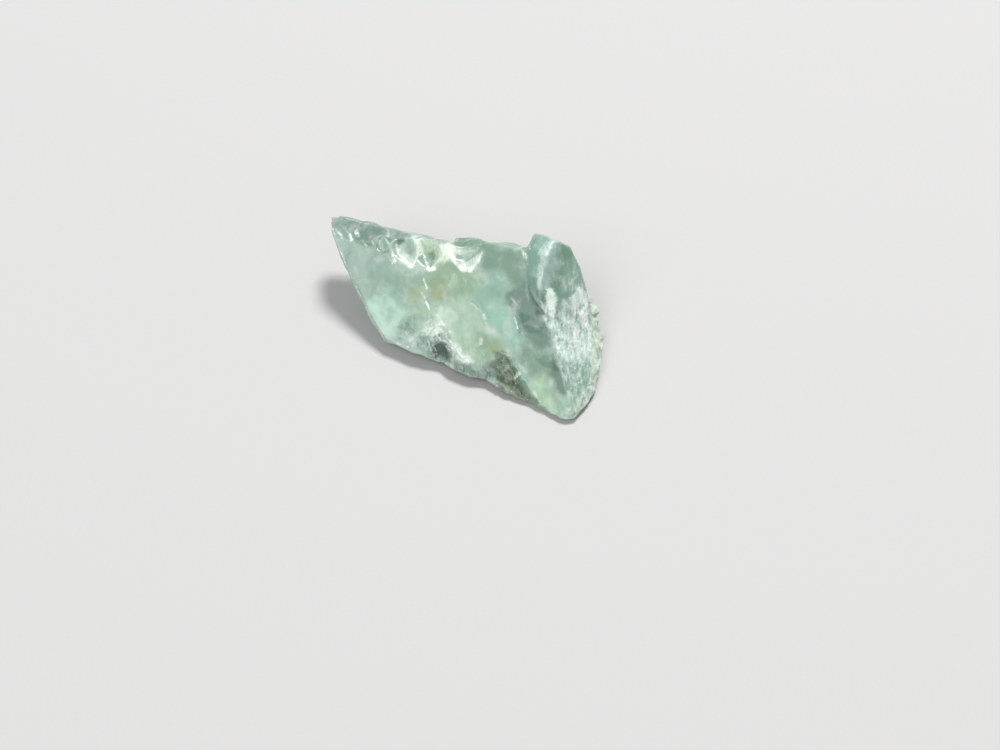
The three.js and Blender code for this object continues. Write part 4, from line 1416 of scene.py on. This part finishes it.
@dataclass
class Crystal:
    """The stone's material: colour zones, flaws, frost, gloss and clearness."""

    finish: CrystalFinish = CrystalFinish()
    grain: GrainFinish = GrainFinish()
    wisps: WispFinish = WispFinish()
    bruises: BruiseFinish = BruiseFinish()
    # The cracks and chips, and the painted highlight along the sharp edges
    worn: CrackAndHighlightFinish = CrackAndHighlightFinish()
    bump: BumpFinish = BumpFinish()
    tree: Optional[Tree] = field(default=None, init=False)
    surface: Optional[bpy.types.Node] = field(default=None, init=False)
    place: Optional[Socket] = field(default=None, init=False)
    masks: dict[Zone, Socket] = field(default_factory=dict, init=False)

    def make(self) -> bpy.types.Material:
        """Builds the material.

        Returns:
            The material.
        """
        material = bpy.data.materials.new("pale_green_crystal")
        material.use_nodes = True
        nodes, links = material.node_tree.nodes, material.node_tree.links
        nodes.clear()
        self.tree = Tree(nodes, links)
        self.surface = nodes.new("ShaderNodeBsdfPrincipled")
        output = nodes.new("ShaderNodeOutputMaterial")
        links.new(self.surface.outputs[0], output.inputs["Surface"])
        absorb = nodes.new("ShaderNodeVolumeAbsorption")
        absorb.inputs["Color"].default_value = self.finish.absorption_colour
        absorb.inputs["Density"].default_value = self.finish.absorption_density
        links.new(absorb.outputs[0], output.inputs["Volume"])
        self.place = self.tree.times(nodes.new("ShaderNodeTexCoord").outputs["Object"], 1 / MM)
        shown = [zone for zone in Zone if zone not in SHAPING_ZONES]
        self.masks = {zone: self.attribute(zone.value).outputs["Fac"] for zone in shown}
        self.set_plain_values()
        colour, clear, frost = self.body()
        colour, clear = self.add_patches(colour, clear)
        colour = self.add_wisps(colour)
        colour = self.add_grain(colour)
        colour, clear, frost = self.add_bruises(colour, clear, frost)
        colour, clear, frost = self.add_flaws(colour, clear, frost)
        self.tree.put(self.surface.inputs["Base Color"], colour)
        self.tree.put(self.surface.inputs["Transmission Weight"], clear)
        rough = self.tree.blend(frost, self.finish.gloss_roughness, self.finish.frost_roughness)
        self.tree.put(self.surface.inputs["Roughness"], rough)
        self.tree.put(self.surface.inputs["Normal"], self.fine_relief(frost))
        return material

    def attribute(self, name: str) -> bpy.types.Node:
        """Reads a value that is stored with the stone's points.

        Args:
            name: The attribute's name.

        Returns:
            The node that gives it, as a number, a colour and an alpha.
        """
        node = self.tree.nodes.new("ShaderNodeAttribute")
        node.attribute_name = name
        return node

    def set_plain_values(self) -> None:
        """Sets what is the same all over the stone."""
        values = {
            "IOR": self.finish.refraction,
            "Subsurface Weight": self.finish.scatter_share,
            "Subsurface Scale": self.finish.scatter_reach,
            "Subsurface Radius": self.finish.scatter_radius,
        }
        for name, value in values.items():
            self.surface.inputs[name].default_value = value

    def body(self) -> tuple[Socket, Socket, Socket]:
        """Lays down each zone's own colour, clearness and frost.

        Returns:
            The colour, the clearness and the frost.
        """
        tree, finish, masks = self.tree, self.finish, self.masks
        cloud = tree.noise(self.place, finish.cloud_per_mm, finish.cloud_detail)
        cloud = tree.step(cloud, *finish.cloud_span)
        colour = tree.mix(cloud, shade(*finish.pale), shade(*finish.deep))
        for zone, share, own in finish.zone_colours:
            colour = tree.mix(tree.product(masks[zone], share), colour, shade(*own))
        clear: object = finish.clearness
        for zone, own in finish.zone_clearness:
            clear = tree.blend(masks[zone], clear, own)
        frost: object = 0.0
        for zone, own in finish.zone_frost:
            frost = tree.larger(frost, tree.product(masks[zone], own))
        return colour, clear, frost

    def add_patches(self, colour: Socket, clear: Socket) -> tuple[Socket, Socket]:
        """Adds the painted colour patches, among them painted glow, painted lightening of shaded chip faces
        and painted dark where the ground shows through.

        Args:
            colour: The colour so far.
            clear: The clearness so far.

        Returns:
            The colour and the clearness with the patches.
        """
        tree = self.tree
        tint = self.attribute("tint")
        lit = tree.vector("MULTIPLY", tint.outputs["Color"], self.finish.patch_gain)
        colour = tree.mix(tint.outputs["Alpha"], colour, lit)
        clear = tree.blend(tint.outputs["Alpha"], clear, self.attribute("clear").outputs["Fac"])
        return colour, clear

    def add_wisps(self, colour: Socket) -> Socket:
        """Adds the light and dark wisps.

        Args:
            colour: The colour so far.

        Returns:
            The colour with the wisps.
        """
        tree, wisps = self.tree, self.wisps
        place = tree.stretched(self.place, wisps.turn_deg, wisps.stretch)
        place = tree.warped(place, wisps.warp_per_mm, wisps.warp_mm)
        wisp = tree.noise(place, wisps.per_mm, wisps.detail, wisps.roughness)
        strength = tree.blend(self.masks[Zone.BROKEN], 1.0, wisps.on_broken)
        light = tree.product(tree.step(wisp, *wisps.light), wisps.light_share)
        colour = tree.mix(tree.product(light, strength), colour, shade(*WHITE))
        dark = tree.product(tree.step(wisp, *wisps.dark), wisps.dark_share)
        return tree.mix(tree.product(dark, strength), colour, shade(*DEPTH))

    def add_grain(self, colour: Socket) -> Socket:
        """Adds the frosted grain of the granular face, and the specks of the margin and the ledge.

        Args:
            colour: The colour so far.

        Returns:
            The colour with the grain.
        """
        tree, grain = self.tree, self.grain
        crumb = tree.noise(self.place, grain.crumb_per_mm, grain.crumb_detail, grain.crumb_roughness)
        for pattern, layers in ((self.streaks(), grain.streaks), (crumb, grain.crumbs)):
            for specks in layers:
                strength = tree.product(tree.step(pattern, *specks.span), self.masks[specks.zone])
                colour = tree.mix(tree.product(strength, specks.share), colour, shade(*specks.colour))
        return colour

    def streaks(self) -> Socket:
        """Makes the grain of the granular face, drawn out down its slope.

        Returns:
            The grain, from 0 to 1.
        """
        grain = self.grain
        place = self.tree.stretched(self.place, grain.turn_deg, grain.stretch)
        return self.tree.noise(place, 1.0, grain.streak_detail, grain.streak_roughness)

    def cells(self, place: Socket, per_mm: float) -> tuple[Socket, Socket]:
        """Adds a pattern of small fracture faces.

        Args:
            place: The place in millimetres.
            per_mm: How many faces there are in a millimetre.

        Returns:
            Each face's own brightness and the lines between the faces, from 0 to 1.
        """
        tree = self.tree
        faces = tree.nodes.new("ShaderNodeTexVoronoi")
        lines = tree.nodes.new("ShaderNodeTexVoronoi")
        lines.feature = "DISTANCE_TO_EDGE"
        for node in (faces, lines):
            tree.put(node.inputs["Vector"], place)
            node.inputs["Scale"].default_value = per_mm
        parts = tree.nodes.new("ShaderNodeSeparateColor")
        tree.links.new(faces.outputs["Color"], parts.inputs[0])
        return parts.outputs[0], tree.step(lines.outputs["Distance"], *self.bruises.line_span)

    def add_bruises(self, colour: Socket, clear: Socket, frost: Socket) -> tuple[Socket, Socket, Socket]:
        """Adds the small fractures of the bruised, crumbled and broken parts.

        Args:
            colour: The colour so far.
            clear: The clearness so far.
            frost: The frost so far.

        Returns:
            The colour, the clearness and the frost with the fractures.
        """
        tree, masks, bruises = self.tree, self.masks, self.bruises
        place = tree.stretched(self.place, bruises.turn_deg, bruises.stretch)
        place = tree.warped(place, bruises.warp_per_mm, bruises.warp_mm)
        crumbs = tree.math("ADD", masks[Zone.LEDGE], masks[Zone.MARGIN])
        bruise = tree.product(crumbs, bruises.on_crumbs)
        bruise = tree.larger(bruise, tree.product(masks[Zone.BROKEN], bruises.on_broken))
        bruise = tree.larger(bruise, self.attribute("bruise").outputs["Fac"])
        coarse, coarse_lines = self.cells(place, bruises.coarse_per_mm)
        fine, fine_lines = self.cells(place, bruises.fine_per_mm)
        shine = tree.product(tree.step(coarse, *bruises.coarse_shine), bruises.coarse_share)
        fine_shine = tree.product(tree.step(fine, *bruises.fine_shine), bruises.fine_share)
        shine = tree.larger(shine, fine_shine)
        shine = tree.larger(shine, tree.product(coarse_lines, bruises.coarse_line_share))
        shine = tree.larger(shine, tree.product(fine_lines, bruises.fine_line_share))
        shine = tree.product(shine, bruise)
        dull = tree.product(tree.step(fine, *bruises.dull), bruises.dull_share)
        colour = tree.mix(tree.product(dull, bruise), colour, shade(*DEPTH))
        colour = tree.mix(shine, colour, shade(*WHITE))
        clear = tree.blend(shine, clear, bruises.clearness)
        frost = tree.larger(frost, tree.product(shine, bruises.frost))
        return colour, clear, frost

    def add_flaws(self, colour: Socket, clear: Socket, frost: Socket) -> tuple[Socket, Socket, Socket]:
        """Adds the cracks and chips, the painted glints and the painted highlight along the sharp edges.

        Args:
            colour: The colour so far.
            clear: The clearness so far.
            frost: The frost so far.

        Returns:
            The colour, the clearness and the frost with the flaws.
        """
        tree, worn = self.tree, self.worn
        # Painted highlight: white laid along every sharp edge
        rim_highlight = tree.product(self.masks[Zone.RIM], worn.rim_highlight_share)
        bright = tree.larger(self.attribute("bright").outputs["Fac"], rim_highlight)
        colour = tree.mix(self.attribute("dark").outputs["Fac"], colour, shade(*SCAR))
        colour = tree.mix(bright, colour, shade(*WHITE))
        clear = tree.blend(bright, clear, worn.clearness)
        frost = tree.larger(frost, tree.product(bright, worn.frost))
        return colour, clear, frost

    def fine_relief(self, frost: Socket) -> Socket:
        """Adds relief too fine for the mesh.

        Args:
            frost: The frost, which is where the grain is.

        Returns:
            The bent surface direction.
        """
        tree, bump = self.tree, self.bump
        wave = tree.noise(self.place, bump.wave_per_mm, bump.wave_detail)
        grain = tree.noise(self.place, bump.grain_per_mm, bump.grain_detail, bump.grain_roughness)
        grain = tree.product(tree.product(grain, frost), bump.grain_height)
        height = tree.math("ADD", tree.product(wave, bump.wave_height), grain)
        slab_lines = tree.product(self.streaks(), self.masks[Zone.SLAB])
        height = tree.math("ADD", height, tree.product(slab_lines, bump.slab_line_height))
        node = tree.nodes.new("ShaderNodeBump")
        node.inputs["Distance"].default_value = bump.distance_mm * MM
        node.inputs["Strength"].default_value = bump.strength
        tree.put(node.inputs["Height"], height)
        return node.outputs[0]


@dataclass
class Studio:
    """The pale floor, the soft light and the camera."""

    floor_side: float = 1.2
    floor_gap: float = 0.00002
    floor_colour: Rgb = (192, 191, 190)
    floor_roughness: float = 0.9
    key_direction: Point = (1.4, 3.1, 6.0)
    key_distance: float = 1.0
    key_size: float = 0.26
    key_power: float = 9.9
    fill_direction: Point = (-2.2, -3.0, 4.0)
    fill_distance: float = 1.2
    fill_size: float = 0.9
    fill_power: float = 6.7
    sky_colour: tuple[float, float, float, float] = (0.95, 0.98, 1.0, 1.0)
    sky_strength: float = 0.36
    sight: Sight = Sight()
    camera_lens: float = 60.0
    camera_sensor: float = 36.0
    camera_nearest: float = 0.01

    def build(self) -> None:
        """Makes the floor, the lights and the camera."""
        self.lay_floor()
        self.hang_light("key", self.key_direction, self.key_distance, self.key_size, self.key_power)
        self.hang_light("fill", self.fill_direction, self.fill_distance, self.fill_size, self.fill_power)
        self.set_sky()
        self.set_camera()
        bpy.context.scene.view_settings.view_transform = "Standard"

    def lay_floor(self) -> None:
        """Lays the plain pale floor just under the stone."""
        bpy.ops.object.select_all(action="DESELECT")
        bpy.ops.mesh.primitive_plane_add(size=self.floor_side, location=(0.0, 0.0, -self.floor_gap))
        floor = bpy.context.active_object
        floor.name = "floor"
        material = bpy.data.materials.new("pale_floor")
        material.use_nodes = True
        surface = material.node_tree.nodes["Principled BSDF"]
        surface.inputs["Base Color"].default_value = shade(*self.floor_colour)
        surface.inputs["Roughness"].default_value = self.floor_roughness
        floor.data.materials.append(material)

    def hang_light(self, name: str, direction: Point, distance: float, size: float, power: float) -> None:
        """Hangs a square soft light that faces the stone.

        Args:
            name: The light's name.
            direction: The direction from the stone to the light.
            distance: How far away it is.
            size: The length of its side.
            power: Its power in watts.
        """
        towards = Vector(direction).normalized()
        lamp = bpy.data.lights.new(name, "AREA")
        lamp.size = size
        lamp.energy = power
        holder = bpy.data.objects.new(name, lamp)
        holder.location = towards * distance
        holder.rotation_euler = towards.to_track_quat("Z", "Y").to_euler()
        bpy.context.scene.collection.objects.link(holder)

    def set_sky(self) -> None:
        """Sets the even light from all round."""
        world = bpy.data.worlds.new("soft_room")
        world.use_nodes = True
        background = world.node_tree.nodes["Background"]
        background.inputs["Color"].default_value = self.sky_colour
        background.inputs["Strength"].default_value = self.sky_strength
        bpy.context.scene.world = world

    def set_camera(self) -> None:
        """Places the camera at the photograph's angle."""
        lens = bpy.data.cameras.new("camera")
        lens.lens = self.camera_lens
        lens.sensor_width = self.camera_sensor
        lens.clip_start = self.camera_nearest
        camera = bpy.data.objects.new("camera", lens)
        camera.location = [value * MM for value in self.sight.place_mm]
        camera.rotation_euler = (math.radians(self.sight.tilt_deg), 0.0, 0.0)
        bpy.context.scene.collection.objects.link(camera)
        bpy.context.scene.camera = camera


def main() -> None:
    """Builds the stone, its material and the studio."""
    stone = Stone().build()
    log.info("stone: %d points, %d faces", len(stone.data.vertices), len(stone.data.polygons))
    stone.data.materials.append(Crystal().make())
    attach(stone, "root")
    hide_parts("fluorite")
    log.info("material: %s", stone.data.materials[0].name)
    Studio().build()
    log.info("studio: floor, lights and camera")


if __name__ == "__main__":
    main()
